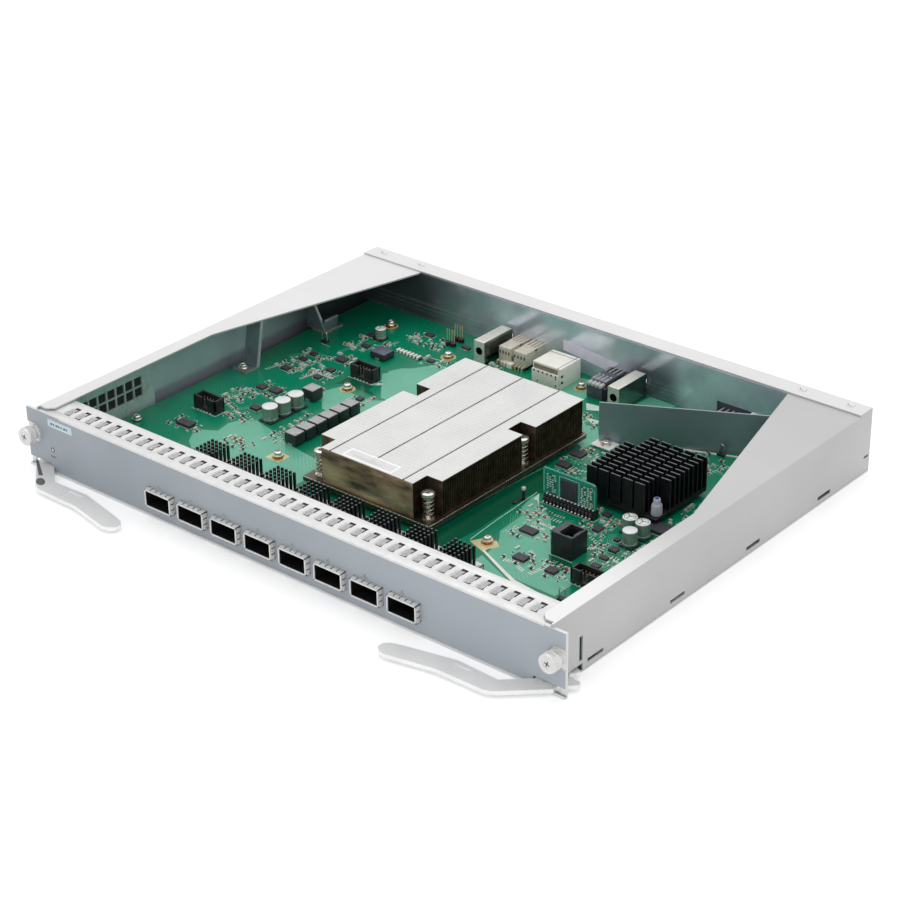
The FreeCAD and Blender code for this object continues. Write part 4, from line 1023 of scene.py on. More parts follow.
def makeFinStack():
    low, high = span("heatsink_fins")
    form = bmesh.new()
    count = int((high.y - low.y) / finStack["pitch"])
    pitch = (high.y - low.y) / count
    sheet = finStack["sheet"]
    for index in range(count):
        y = low.y + index * pitch
        left, right = finRange(y + pitch / 2, low, high)
        addBox(form, (left, y, low.z), (right, y + sheet, high.z - sheet), 1)
        addBox(form, (left, y, low.z), (right, y + pitch, low.z + sheet), 1)
        starts = [left] + [seam + finStack["seamWide"] / 2 for seam in finStack["seams"]]
        ends = [seam - finStack["seamWide"] / 2 for seam in finStack["seams"]] + [right]
        rise = 0.03 * (index % 2)
        for x0, x1 in zip(starts, ends):
            addBox(form, (x0, y, high.z - sheet), (x1, y + pitch - 0.03, high.z - rise), 0)
        for seam in finStack["seams"]:
            if seam == finStack["seams"][1] and y < finStack["labelEnd"]:
                addBox(form, (seam - 0.7, y, high.z - sheet),
                        (seam + 0.7, y + pitch - 0.03, high.z - rise))
                continue
            half = finStack["seamWide"] / 2
            addBox(form, (seam - half, y + finStack["seamLong"], high.z - sheet),
                    (seam + half, y + pitch, high.z - 0.05), 0)
    left, right = finRange(low.y + 1, low, high)
    addBox(form, (left, low.y - 0.02, low.z), (right, low.y + sheet, high.z - sheet), 2)
    finishPiece(form, "finStack", ["foldedFinStock", "shadedFinSide", "smokedEndSheet"],
            ("heatsink_fins",))

    form = bmesh.new()
    x0, y0, x1, y1 = -16.5, 73.2, 20.5, 82.9
    windows = [(x0 + 1.5, x1 - 1.5, y0 + 1.5, y1 - 1.5)]
    addPierced(form, lambda u0, u1, v0, v1: ((u0, v0, high.z - 0.02), (u1, v1, high.z + 0.05)), (x0, x1),
            (y0, y1), windows, 0)
    addBox(form, (x0 + 6, y0 + 3.2, high.z - 0.02), (x1 - 9, y0 + 4, high.z + 0.02), 1)
    finishPiece(form, "sinkLabelOutline", ["brightRim", "satinCaseSteel"])

    # a bright strip along the plate's front and right top edges: painted highlight
    form = bmesh.new()
    low, high = span("heatsink_base")
    addBox(form, (low.x, low.y - 0.05, high.z - 0.5), (high.x, low.y + 0.4, high.z + 0.04), 0, 0.1)
    addBox(form, (high.x - 0.4, low.y + 0.45, high.z - 0.4), (high.x + 0.05, high.y, high.z + 0.04), 0, 0.1)
    finishPiece(form, "plateEdgeHighlight", ["nickelScrew"])
    print("fin stack:", count, "fins")


def makeSpringScrews():
    low, high = span("heatsink_screws")
    plateLow, plateHigh = span("heatsink_base")
    sinkLow, sinkHigh = span("heatsink_fins")
    centres = []
    for x in (sinkLow.x + 5, sinkHigh.x - 5):
        for y in (sinkLow.y + 5.6, finStack["middle"]):
            centres.append((x, y))
    form = bmesh.new()
    for x, y in centres:
        top = high.z
        addTurned(form, [(0, top - 0.5), (1.4, top - 0.5), (1.5, top), (3.2, top), (3.8, top - 0.3),
                (4, top - 0.8), (4, top - 2.2), (3.7, top - 2.8), (1.7, top - 2.8), (1.7, low.z),
                (0, low.z)], (x, y, 0), "Z", 0, 32)
        addCross(form, (x, y, top - 0.45), "Z", 2.2, 0.8, 0.08, 1)
        addTurned(form, [(1.8, 0), (3.7, 0), (3.7, 0.6), (1.8, 0.6), (1.8, 0)],
                (x, y, plateHigh.z + 0.02), "Z", 0, 28)
        addTurned(form, [(1.8, 0), (3.1, 0), (3.1, plateLow.z - 8), (1.8, plateLow.z - 8)],
                (x, y, boardTop), "Z", 2, 6)
        addRod(form, (x, y, low.z), 2, 3.2, "Z", 0, 6)
    finishPiece(form, "springScrews", ["nickelScrew", "cageInside", "turnedBrass"],
            ("heatsink_screws",))
    form = bmesh.new()
    low, high = span("heatsink_springs")
    foot = low.z + sinkSpring["washer"]
    for x, y in centres:
        addCoil(form, (x, y, foot), sinkSpring["radius"], sinkSpring["wire"], high.z - foot,
                sinkSpring["turns"])
    finishPiece(form, "sinkSprings", ["springWire"], ("heatsink_springs",))
    print("spring screws:", len(centres))


makeFinStack()
makeSpringScrews()

# ---- black cross-cut heatsink and its push pins

crossSink = {"columns": 6, "rows": 12, "gap": 1.7, "finThick": 0.95}


def makeCrossSink():
    low, high = span("pin_fin_heatsink")
    form = bmesh.new()
    base = low.z + 2.4
    addBox(form, low, (high.x, high.y, base), 0, 0.2)
    columns, rows = crossSink["columns"], crossSink["rows"]
    long = (high.x - low.x - (columns - 1) * crossSink["gap"]) / columns
    step = (high.y - low.y - crossSink["finThick"]) / (rows - 1)
    for column in range(columns):
        for row in range(rows):
            if (column == columns - 1 and row < 3) or (column == 0 and row > rows - 4):
                continue
            x = low.x + column * (long + crossSink["gap"])
            y = low.y + row * step
            addBox(form, (x, y, base - 0.1), (x + long, y + crossSink["finThick"], high.z - 0.08), 0)
            addBox(form, (x + 0.3, y + 0.22, high.z - 0.08), (x + long - 0.3,
                    y + crossSink["finThick"] - 0.22, high.z), 1)
    finishPiece(form, "crossCutSink", ["blackAnodised", "bareAndLitPinTip"],
            ("pin_fin_heatsink",))
    form = bmesh.new()
    low, high = span("push_pins")
    for x, y in ((low.x + 3.3, high.y - 3.3), (high.x - 3.3, low.y + 3.3)):
        addTurned(form, [(0, 8), (1.7, 8), (1.7, base), (3.2, base), (3.3, base + 0.3), (3.1, 18.9),
                (2.8, 19.5), (2.3, 19.7), (2.15, 20.3), (2.1, 22.4), (1.8, 22.9), (0, 22.9)],
                (x, y, 0), "Z", 0, 28)
        for angle in range(0, 360, 60):
            side = Matrix.Rotation(math.radians(angle), 4, "Z") @ Vector((3.1, 0, 0))
            addRod(form, Vector((x, y, base + 0.4)) + side, 5, 0.35, "Z", 0, 8)
        addTurned(form, [(0, 23), (1.2, 23), (1.3, 22.7), (1.3, 21.6), (0, 21.6)], (x, y, 0), "Z",
                1, 20)
    finishPiece(form, "pushPins", ["whiteNylon", "blueNylon"], ("push_pins",))
    print("cross-cut heatsink: 1")


makeCrossSink()

# ---- board parts

can = {"groove": 0.35}
coreRow = {"count": 6, "x": -83.8, "first": 105, "pitch": 9.75}
boxHeader = {"columns": 5, "pitch": 2.54, "wall": 1.2, "top": 17, "notch": 2.2, "pinHalf": 0.32}
jackContact = {"count": 6, "pitch": 1.35, "wide": 0.5}


def makeCapacitors():
    spots = [(-116, 117.5, 4.9, 10, 0), (-115.6, 128.4, 4.9, 10, 0), (-115.2, 139.4, 4.9, 10, 0),
            (-140, 245.2, 3.5, 8, 1), (142.3, 131.5, 4.3, 10, 0), (142.6, 143, 4.3, 10, 1),
            (133.6, 143.4, 4.3, 10, 1)]
    form = bmesh.new()
    for x, y, radius, height, marked in spots:
        top = boardTop + height
        addBox(form, (x - radius - 0.2, y - radius - 0.2, boardTop + 0.02),
                (x + radius + 0.2, y + radius + 0.2, 9.1), 1, 0.35)
        addTurned(form, [(0, 9), (radius - 0.1, 9), (radius, 9.3), (radius, 10.2),
                (radius - can["groove"], 10.5), (radius - can["groove"], 10.8), (radius, 11.1),
                (radius, top - 0.5)], (x, y, 0), "Z", 0, 40)
        addTurned(form, [(radius, top - 0.52), (radius - 0.2, top - 0.15), (radius - 0.7, top), (0, top)],
                (x, y, 0), "Z", 3, 40)
        if marked:
            for angle in (25, 145, 265):
                turn = Matrix.Translation((x, y, top)) @ Matrix.Rotation(math.radians(angle), 4, "Z")
                addTurnedBox(form, turn @ Matrix.Translation((radius * 0.36, 0, 0)),
                        (radius * 0.72, 0.5, 0.05), 1)
            addTurned(form, [(radius - 1.1, top - 0.02), (radius - 1.1, top + 0.03),
                    (radius - 0.85, top + 0.03), (radius - 0.85, top - 0.1)], (x, y, 0), "Z", 1, 32)
        for sign in (-1, 1):
            addBox(form, (x - 0.6, y + sign * (radius + 0.5) - 0.7, boardTop + 0.01),
                    (x + 0.6, y + sign * (radius + 0.5) + 0.7, 8.3), 2)
    finishPiece(form, "capacitorCans", ["canWall", "blackMoulding", "tinnedLead", "canTop"],
            ("capacitors",))
    print("capacitors:", len(spots))


def makeInductors():
    spots = [(coreRow["x"], coreRow["first"] + coreRow["pitch"] * index, 9, 8.4, 8, 0)
            for index in range(coreRow["count"])]
    spots += [(-115.9, 154.8, 9, 9, 8, 0), (-121.2, 225.2, 12, 10, 5, 2)]
    form = bmesh.new()
    for x, y, wide, deep, height, top in spots:
        z = boardTop + height
        addBox(form, (x - wide / 2, y - deep / 2, boardTop + 0.5), (x + wide / 2, y + deep / 2, z - 0.45),
                1, 0.35)
        addBox(form, (x - wide / 2 + 0.25, y - deep / 2 + 0.25, z - 0.6), (x + wide / 2 - 0.25,
                y + deep / 2 - 0.25, z), 0 if top == 0 else 3, 0.25)
        for sign in (-1, 1):
            addBox(form, (x - 1.8, y + sign * (deep / 2 - 0.4) - 0.6, boardTop + 0.02),
                    (x + 1.8, y + sign * (deep / 2 - 0.4) + 0.6, 9.6), 2, 0.1)
    finishPiece(form, "powerInductors", ["powderCoreTop", "powderCoreSide", "tinnedLead", "violetCore"],
            ("inductors",))
    print("inductors:", len(spots))


def makeHeaders():
    form = bmesh.new()
    for x0, x1, y0, y1 in ((-164.6, -146.4, 100.8, 109), (-118.6, -100.4, 192.2, 200.2),
            (140.6, 158.8, 80.4, 88.6)):
        middle = (x0 + x1) / 2
        wall, top, notch, half = (boxHeader[key] for key in ("wall", "top", "notch", "pinHalf"))
        addBox(form, (x0, y0, 8.1), (x1, y1, 10.4), 0, 0.15)
        addBox(form, (x0, y1 - wall, 10.2), (x1, y1, top), 0, 0.15)
        addBox(form, (x0, y0, 10.2), (x0 + wall, y1, top), 0, 0.15)
        addBox(form, (x1 - wall, y0, 10.2), (x1, y1, top), 0, 0.15)
        addBox(form, (x0, y0, 10.2), (middle - notch, y0 + wall, top), 0, 0.15)
        addBox(form, (middle + notch, y0, 10.2), (x1, y0 + wall, top), 0, 0.15)
        for column in range(boxHeader["columns"]):
            for row in range(2):
                x = middle + (column - 2) * boxHeader["pitch"]
                y = (y0 + y1) / 2 + (row - 0.5) * boxHeader["pitch"]
                addBox(form, (x - half, y - half, 10), (x + half, y + half, 14.8), 1, 0.08, 1)
            for y, way in ((y0, -1), (y1, 1)):
                x = middle + (column - 2) * boxHeader["pitch"]
                addBox(form, (x - 0.35, min(y, y + way * 1.3), boardTop + 0.02),
                        (x + 0.35, max(y, y + way * 1.3), 8.5), 2)
    finishPiece(form, "boxHeaders", ["blackMoulding", "dullPin", "brightLead"],
            ("box_headers",))
    print("box headers: 3")


# upright socket: thick grey rim, opening off centre with a key notch and a step inside
def makeJack():
    low, high = span("modular_jack")
    form = bmesh.new()
    x0, x1, y0, y1 = low.x + 4.3, high.x - 1.1, low.y + 1.6, high.y - 1.1
    top = high.z - 0.25
    addBox(form, low, (high.x, high.y, low.z + 3), 0, 0.2)
    addBox(form, (low.x, low.y, low.z + 2.8), (x0, high.y, top), 0, 0.2)
    addBox(form, (x1, low.y, low.z + 2.8), (high.x, high.y, top), 0, 0.2)
    addBox(form, (x0 - 0.3, low.y, low.z + 2.8), (x1 + 0.3, y0, top), 0, 0.2)
    addBox(form, (x0 - 0.3, y1, low.z + 2.8), (x1 + 0.3, high.y, top), 0, 0.2)
    addPierced(form, lambda u0, u1, v0, v1: ((u0, v0, top - 0.1), (u1, v1, high.z)),
            (low.x + 0.25, high.x - 0.25), (low.y + 0.25, high.y - 0.25),
            [(x0, x1, y0, y1), (x0 + 1.6, x1 - 3.4, y0 - 0.9, y1)], 1)
    addBox(form, (x1 - 2.2, y0 + 4, low.z + 3), (x1 + 0.05, y1 + 0.05, high.z - 1.3), 1, 0.15)
    for index in range(jackContact["count"]):
        x = x0 + 1.2 + index * jackContact["pitch"]
        addBox(form, (x, y0 + 1, low.z + 3), (x + jackContact["wide"], y0 + 1.5, high.z - 3), 2)
    finishPiece(form, "modularJack", ["blackMoulding", "greyTopBlack", "immersionGold"],
            ("modular_jack",))
    print("modular jack: 1")


chipLeg = {"pitch": 1, "reach": 0.9, "halfWide": 0.18}


def addChip(form, x, y, wide, deep, height, legSides):
    addBox(form, (x - wide / 2, y - deep / 2, boardTop + 0.15), (x + wide / 2, y + deep / 2,
            boardTop + height), 0, 0.12, 1)
    addRod(form, (x - wide / 2 + 1, y - deep / 2 + 1, boardTop + height - 0.02), 0.04, 0.35,
            "Z", 3, 12)
    for axis, long, half in ((0, wide, deep / 2), (1, deep, wide / 2)):
        if "YX"[axis] not in legSides:
            continue
        count = max(2, int(long / chipLeg["pitch"]))
        for index in range(count):
            for sign in (-1, 1):
                ends = sorted((sign * half, sign * (half + chipLeg["reach"])))
                low, high = Vector((x, y, boardTop + 0.02)), Vector((x, y, boardTop + 0.3))
                low[axis] += (index - (count - 1) / 2) * chipLeg["pitch"] - chipLeg["halfWide"]
                high[axis] += (index - (count - 1) / 2) * chipLeg["pitch"] + chipLeg["halfWide"]
                low[1 - axis] += ends[0]
                high[1 - axis] += ends[1]
                addBox(form, low, high, 1)


# centre, width, depth, height, and the sides with legs
chips = [(-151.5, 81, 11, 6, 2.2, "Y"), (-150.6, 145.8, 6, 5, 1.6, "X"), (-139.9, 147.2, 7, 6, 2, "Y"),
    (-133.3, 122.7, 6.5, 5, 1.8, "X"), (-157.5, 174.7, 6, 4.5, 1.6, "X"), (-158.1, 191, 5, 4, 1.5, "Y"),
    (-157.7, 200.7, 5, 4, 1.5, "X"), (-133.4, 190.3, 5, 4.5, 1.5, "Y"), (-133, 177.8, 5, 4, 1.5, "X"),
    (-137.7, 205.3, 7, 5.5, 2, "X"), (-147.6, 245, 6, 4.5, 1.6, "Y"), (-139.6, 230.2, 6, 4, 1.5, "X"),
    (-91.9, 171.4, 4.5, 4, 1.5, "Y"), (90.2, 108.7, 10, 6, 1.8, "Y"), (105.1, 82.9, 8, 6, 1.8, "Y"),
    (126.6, 82.6, 6.5, 5.5, 1.8, "Y"), (56.2, 197.6, 9, 7, 1.6, "Y"), (58.2, 181.8, 8, 6, 1.8, "Y"),
    (118.6, 134.3, 5, 6, 1.6, "X"), (113, 150, 5, 4, 1.5, "Y"), (139.2, 121.3, 5.5, 4.5, 1.6, "X"),
    (140.1, 111.1, 5, 3.5, 1.4, "Y"), (134, 131.1, 3.5, 3, 1.4, "X"), (146.5, 155, 16, 10, 2.4, "XY"),
    (141.9, 101.6, 5, 4, 1.4, "X"), (-118.2, 268.4, 6, 4, 1.4, "Y"), (-87.4, 267.8, 6.5, 3, 1.6, "Y"),
    (-92.6, 239.3, 5, 3.5, 1.4, "X"), (118, 232, 8, 8, 1.4, "XY"), (164, 178, 7, 7, 1.4, "XY")]


def makeChips():
    form = bmesh.new()
    for x, y, wide, deep, height, legSides in chips:
        addChip(form, x, y, wide, deep, height, legSides)
    finishPiece(form, "chipPackages", ["epoxyPackage", "brightLead", "brightLead", "cageInside"],
            ("chip_packages",))
    print("chips:", len(chips))


# groups of small parts: centre, half sizes, how many
clusters = [(-155, 128, 9, 12, 34), (-142, 146, 13, 9, 46), (-136, 110, 12, 6, 22), (-158, 180, 9, 8, 26),
    (-156, 197, 10, 8, 30), (-134, 184, 10, 9, 32), (-138, 207, 9, 6, 22), (-140, 236, 13, 12, 46),
    (-112, 262, 14, 8, 34), (-90, 240, 9, 6, 22), (-98, 104, 6, 8, 14), (-98, 120, 7, 20, 30),
    (-151, 82, 12, 7, 22), (-122, 160, 8, 9, 18), (-92, 172, 7, 6, 12), (-60, 262, 12, 6, 20),
    (-15, 248, 14, 6, 18), (92, 112, 13, 12, 40), (106, 84, 10, 7, 24), (127, 84, 9, 8, 22),
    (116, 140, 10, 14, 40), (138, 116, 12, 12, 48), (60, 190, 8, 18, 40), (78, 170, 9, 12, 24),
    (150, 172, 8, 22, 44), (120, 236, 14, 10, 26), (160, 130, 12, 14, 36), (160, 100, 10, 12, 24),
    (80, 128, 9, 6, 20), (30, 235, 12, 8, 20), (-110, 84, 10, 6, 18), (-30, 58, 60, 4, 50),
    (160, 225, 12, 20, 30)]
keepOut = [(-44.6, 70, 50.8, 213.5), (94, 156, 142, 205), (-71.5, 256, -62, 285), (33.5, 256, 43, 285),
    (-59, 265, -36, 290), (-26, 256, -3.5, 280), (12, 261, 27.5, 293), (113.4, 97.6, 128.6, 112.2),
    (73, 140, 111, 146), (-184, 155, -172, 169), (-184, 233, -170, 247), (-165, 100, -146, 109.5),
    (-119, 192, -100, 200.6), (140, 80, 159.2, 89)]
keepOut += [(x - 5.4, y - 5.4, x + 5.4, y + 5.4) for x, y in ((-116, 117.5), (-115.6, 128.4),
    (-115.2, 139.4), (-140, 245.2), (142.3, 131.5), (142.6, 143), (133.6, 143.4), (-79.6, 85.9),
    (-108.1, 177.8), (-89.6, 258.5), (-148.1, 264.2), (79.3, 85.8), (4, 269.3), (-115.9, 154.8))]
keepOut += [(-88.6, 100.5, -79, 158.5), (-128, 219, -114.5, 231)]
keepOut += [(x - wide / 2 - 1.2, y - deep / 2 - 1.2, x + wide / 2 + 1.2, y + deep / 2 + 1.2)
    for x, y, wide, deep, height, legSides in chips]


# rows of fine bright ticks beside chips and connectors: first and last, how many, length of one
tickRows = [((-167.2, 166.9), (-164, 181.9), 9, 2.2), ((-152.1, 171.2), (-148.8, 181.6), 7, 2),
    ((-140.8, 170.5), (-138.3, 183.6), 9, 2), ((-136.5, 182.6), (-125.3, 182.8), 8, 1.8),
    ((-156.6, 118.7), (-153.9, 136.1), 11, 2.2), ((-143.5, 221.6), (-149.7, 242.3), 10, 2),
    ((-130.3, 259.6), (-120.8, 261.5), 6, 1.8), ((87.1, 127.7), (97.1, 128.1), 6, 3),
    ((88.7, 120.2), (97.8, 120.1), 6, 3), ((90, 132.5), (95.6, 133.2), 4, 2),
    ((81.3, 105.6), (83.9, 110.1), 4, 1.8), ((87.7, 114.5), (94.9, 115.3), 6, 2.2),
    ((98.9, 76.4), (103.7, 77.9), 4, 3.4), ((118.8, 73.7), (121.9, 87.8), 9, 3.2),
    ((130.7, 81), (138.3, 80.2), 6, 2.2), ((53.4, 203.5), (63.3, 200.4), 6, 2),
    ((61.4, 179.8), (74.1, 184.6), 8, 2.2), ((112.9, 133.4), (122.6, 136.3), 6, 2.2),
    ((120.5, 124.9), (130.6, 120.9), 6, 2.4), ((134.8, 112.3), (146.8, 114.8), 7, 2.4),
    ((128.7, 225.6), (133.3, 240), 8, 2.4), ((-158.5, 140), (-146, 138), 8, 1.8),
    ((-137, 150.5), (-126, 151), 7, 2), ((122, 112.8), (130, 116), 6, 2.4),
    ((104, 92.5), (110, 89), 5, 2.6), ((108, 76), (113.5, 73.5), 5, 3), ((150, 116), (156, 120), 5, 2.2)]
# plain white patches and outlines on the mask: corner points
inkPatches = [((18.9, 254.5), (27.6, 256.1), (31.6, 250.8), (24.8, 247.2)),
    ((30.3, 239.5), (39.6, 240.2), (42.1, 233.8), (31.9, 237.4)), ((67.3, 146.9), (68.8, 139.4),
    (71, 140.2), (76, 135.6)), ((-5, 258), (1, 256.6), (3, 257.4), (-3.4, 259)),
    ((-102, 190.8), (-96.6, 193.4), (-95, 197.4), (-99.6, 196))]
inkLines = [((65.5, 147.4), (67.1, 121.8)), ((67.1, 121.8), (67.8, 107.2)), ((67.8, 107.2), (70.1, 81.9)),
    ((46.5, 110.3), (49.9, 172)), ((73.6, 139.4), (111.4, 139.4)), ((111.4, 139.4), (111.8, 146.6)),
    ((-119.6, 191.2), (-99.4, 191.2)), ((-99.4, 191.2), (-99.4, 201.2)), ((-165.6, 99.8), (-145.4, 99.8)),
    ((-145.4, 99.8), (-145.4, 110)), ((139.6, 79.4), (159.8, 79.4)), ((112.6, 96.8), (129.4, 96.8)),
    ((54, 211.4), (54, 223.4)), ((-166, 216.6), (-158, 215.8)), ((-96, 243.5), (-84, 246)),
    ((-84, 246), (-80, 238))]


def addLine(form, start, end, wide, thick=0.03, slotIndex=0):
    start, end = Vector((*start, 0)), Vector((*end, 0))
    along = (end - start).normalized()
    side = Vector((-along.y, along.x, 0)) * wide / 2
    addPad(form, [point.xy for point in (start - side, end - side, end + side, start + side)], thick,
            slotIndex)


# fans of fine traces: start, end, how many lines, spacing; each line bends once
traceFans = [((-128, 92), (-108, 140), 5, 0.9), ((-150, 100), (-128, 128), 4, 0.8),
    ((70, 118), (88, 104), 6, 1.2), ((80, 96), (112, 82), 6, 1.1), ((74, 132), (90, 118), 7, 1),
    ((98, 132), (114, 118), 5, 1), ((130, 118), (150, 104), 6, 1.1), ((118, 88), (138, 70), 5, 1.2),
    ((126, 134), (150, 122), 5, 1), ((-100, 176), (-118, 158), 5, 0.9), ((-170, 190), (-150, 205), 4, 1),
    ((-150, 215), (-128, 245), 4, 1), ((56, 176), (72, 200), 5, 1), ((-30, 245), (-6, 256), 4, 0.9),
    ((112, 205), (134, 232), 4, 1.1), ((-165, 118), (-150, 140), 4, 0.9), ((-92, 236), (-74, 250), 4, 0.9)]


inkSizes = {"tickWide": 0.55, "tickHigh": 0.22, "lineWide": 0.42, "barHalf": 0.15, "barHigh": 0.025}
traceSizes = {"wide": 0.26, "high": 0.018}


def makeInk():
    marks = bmesh.new()
    for start, end, count, long in tickRows:
        start, end = Vector(start), Vector(end)
        steep = abs((end - start).x) < abs((end - start).y)
        side = Vector((1, 0) if steep else (0, 1)) * long / 2
        for index in range(count):
            at = start + (end - start) * index / (count - 1)
            addLine(marks, at - side, at + side, inkSizes["tickWide"], inkSizes["tickHigh"], 1)
    for points in inkPatches:
        addPad(marks, points, 0.03)
    for start, end in inkLines:
        addLine(marks, start, end, inkSizes["lineWide"])
    half, high = inkSizes["barHalf"], boardTop + inkSizes["barHigh"]
    for x, y, wide, deep, height, legSides in chips:
        for sign in (-1, 1):
            if legSides == "X":
                addBox(marks, (x - wide / 2, y + sign * (deep / 2 + 0.5) - half, boardTop),
                        (x + wide / 2, y + sign * (deep / 2 + 0.5) + half, high))
            else:
                addBox(marks, (x + sign * (wide / 2 + 0.6) - half, y - deep / 2, boardTop),
                        (x + sign * (wide / 2 + 0.6) + half, y + deep / 2, high))
    finishPiece(marks, "inkMarks", ["screenInk", "brightLead"])
    traces = bmesh.new()
    draw = random.Random(23)
    for start, end, count, gap in traceFans:
        start, end = Vector(start), Vector(end)
        bend = Vector((start.x + (end.x - start.x) * draw.uniform(0.25, 0.6), end.y))
        for index in range(count):
            shift = Vector((1, -1 if (end - start).x * (end - start).y > 0 else 1)) * gap * index * 0.75
            addLine(traces, start + shift, bend + shift, traceSizes["wide"], traceSizes["high"])
            addLine(traces, bend + shift, end + shift, traceSizes["wide"], traceSizes["high"])
            addTurned(traces, [(0, 0.03), (0.34, 0.03), (0.42, 0)], Vector((*(end + shift), boardTop)),
                    "Z", 0, 10)
    finishPiece(traces, "boardTraces", ["paleTrace"])
    print("ink and traces: 2")


partGrid, partGap = 0.9, 0.35
boardLimits = {"side": 182, "front": 9, "rear": 283}


def makeSmallParts():
    draw = random.Random(41)
    form = bmesh.new()
    ink = bmesh.new()
    taken = list(keepOut)
    count = 0
    for cx, cy, halfX, halfY, wanted in clusters:
        for attempt in range(wanted * 3):
            if attempt >= wanted and draw.random() < 0.5:
                continue
            x = round((cx + draw.uniform(-halfX, halfX)) / partGrid) * partGrid
            y = round((cy + draw.uniform(-halfY, halfY)) / partGrid) * partGrid
            along = draw.random() < 0.5
            long, wide, high, colour = draw.choice(((1.6, 0.8, 0.5, 0), (1.6, 0.8, 0.7, 3),
                    (2, 1.2, 0.6, 0), (2, 1.25, 1.1, 3), (3.2, 1.6, 1.3, 1), (2.9, 1.4, 1.1, 0),
                    (1, 0.5, 0.4, 3), (3, 1.5, 0.9, 3), (2.6, 2, 1.2, 0)))
            halfLong, halfWide = (long / 2, wide / 2) if along else (wide / 2, long / 2)
            box = (x - halfLong - partGap, y - halfWide - partGap,
                    x + halfLong + partGap, y + halfWide + partGap)
            if any(box[0] < other[2] and box[2] > other[0] and box[1] < other[3] and box[3] > other[1]
                    for other in taken):
                continue
            if abs(x) > boardLimits["side"] or not boardLimits["front"] <= y <= boardLimits["rear"]:
                continue
            taken.append(box)
            count += 1
            alongX = Vector((1, 0, 0)) if along else Vector((0, 1, 0))
            across = Vector((0, 1, 0)) if along else Vector((1, 0, 0))
            centre = Vector((x, y, boardTop))
            body = alongX * long * 0.34 + across * wide / 2
            addBox(form, centre - body, centre + body + Vector((0, 0, high)), colour)
            for sign in (-1, 1):
                tip = centre + alongX * sign * long * 0.42
                cap = alongX * long * 0.13 + across * wide / 2
                addBox(form, tip - cap, tip + cap + Vector((0, 0, high * 0.97)), 2)
            if draw.random() < 0.6:
                reach = alongX * (long / 2 + 0.6)
                side = across * (wide / 2 + 0.5)
                for sign in (-1, 1):
                    middle = centre + side * sign
                    line = reach + across * 0.14
                    addBox(ink, middle - line, middle + line + Vector((0, 0, 0.025)))
    finishPiece(form, "smallParts", ["epoxyPackage", "tanCeramic", "brightLead", "whiteCeramic"])
    finishPiece(ink, "partBrackets", ["screenInk"])
    print("small parts:", count)


makeCapacitors()
makeInductors()
makeHeaders()
makeJack()
makeChips()
makeSmallParts()

# ---- bare pads, board screws, wire loops, planes

screwSpots = [(-79.6, 85.9), (-108.1, 177.8), (-88.5, 251.5), (-148.1, 264.2), (79.3, 85.8), (4, 269.3),
    (62.2, 216.9)]


def makeBoardScrews():
    form = bmesh.new()
    spots = [(x, y, 9.4) for x, y in screwSpots[:6]] + [(62.2, 216.9, 9), (176, 60, boardTop),
            (176, 220, boardTop), (-178.6, 158, 9.2), (-178.2, 238.5, 9.2), (-180, 67.5, 8.6),
            (170, 280.8, boardTop)]
    for x, y, seat in spots:
        at = Vector((x, y, seat))
        addTurned(form, [(1.5, 0), (3, 0), (3.2, 0.2), (3.2, 0.4), (3, 0.55), (1.5, 0.55)], at, "Z", 0, 28)
        addTurned(form, [(0.95, 2), (1.15, 2.6), (1.9, 2.45), (2.35, 2), (2.45, 1.2), (2.4, 0.5),
                (1.4, 0.5), (1.4, -3.2)], at, "Z", 0, 24)
        addTurned(form, [(0, 1.9), (1, 2)], at, "Z", 1, 12)
        if seat == 9.4:
            addTurned(form, [(1.5, -1.38), (3.9, -1.38), (3.9, -1.1), (3.1, -0.95), (3, 0.05), (1.5, 0.05)],
                    at, "Z", 2, 6)
    finishPiece(form, "boardScrews", ["nickelScrew", "violetSocket", "turnedBrass"],
            ("board_screws",))
    print("board screws:", len(spots))


planes = [((-105.5, 207.4), (-103.8, 210.4), (-104.6, 213), (-101, 220.8), (-96.1, 224.7), (-85.9, 240.3),
    (-60, 236), (-40, 228), (-40, 180), (-83.8, 181.6)), ((-117.2, 164.4), (-116.5, 170.5), (-113.8, 177.4),
    (-100.2, 174.8), (-90.9, 174.3), (-83.3, 177.3), (-79.9, 180), (-50, 180), (-50, 150), (-102.3, 148.2)),
    ((-135.3, 67.5), (-140.6, 75.9), (-140.6, 82.3), (-131, 87.8), (-133.3, 98.8), (-130.8, 105.1),
    (-121.9, 112), (-104, 108), (-92, 103), (-76, 100), (-48, 96), (-48, 50), (-110, 50)),
    ((69.2, 128.5), (66.8, 141.1), (67.3, 146.9), (75.7, 136.3), (77.3, 137.5), (91.8, 126.4),
    (99.7, 115.3), (115.1, 96.5), (130.5, 94.8), (143.2, 78.1), (143, 63.9), (115.7, 64.3), (86.9, 76.2),
    (84, 90), (76.9, 99.6), (75.5, 120.4)), ((86, 46), (176, 46), (176, 56.5), (116, 60), (86, 73)),
    ((1.3, 281.7), (-5, 279.9), (-4.6, 272.2), (-5.2, 262.1), (2, 252), (15.7, 256), (14, 262), (11, 281)),
    ((14, 222), (54, 206), (54.4, 220.4), (44, 233), (36.6, 231), (26, 241), (14, 240)),
    ((44.5, 285.5), (43.5, 262), (60, 262), (64, 285.5))]


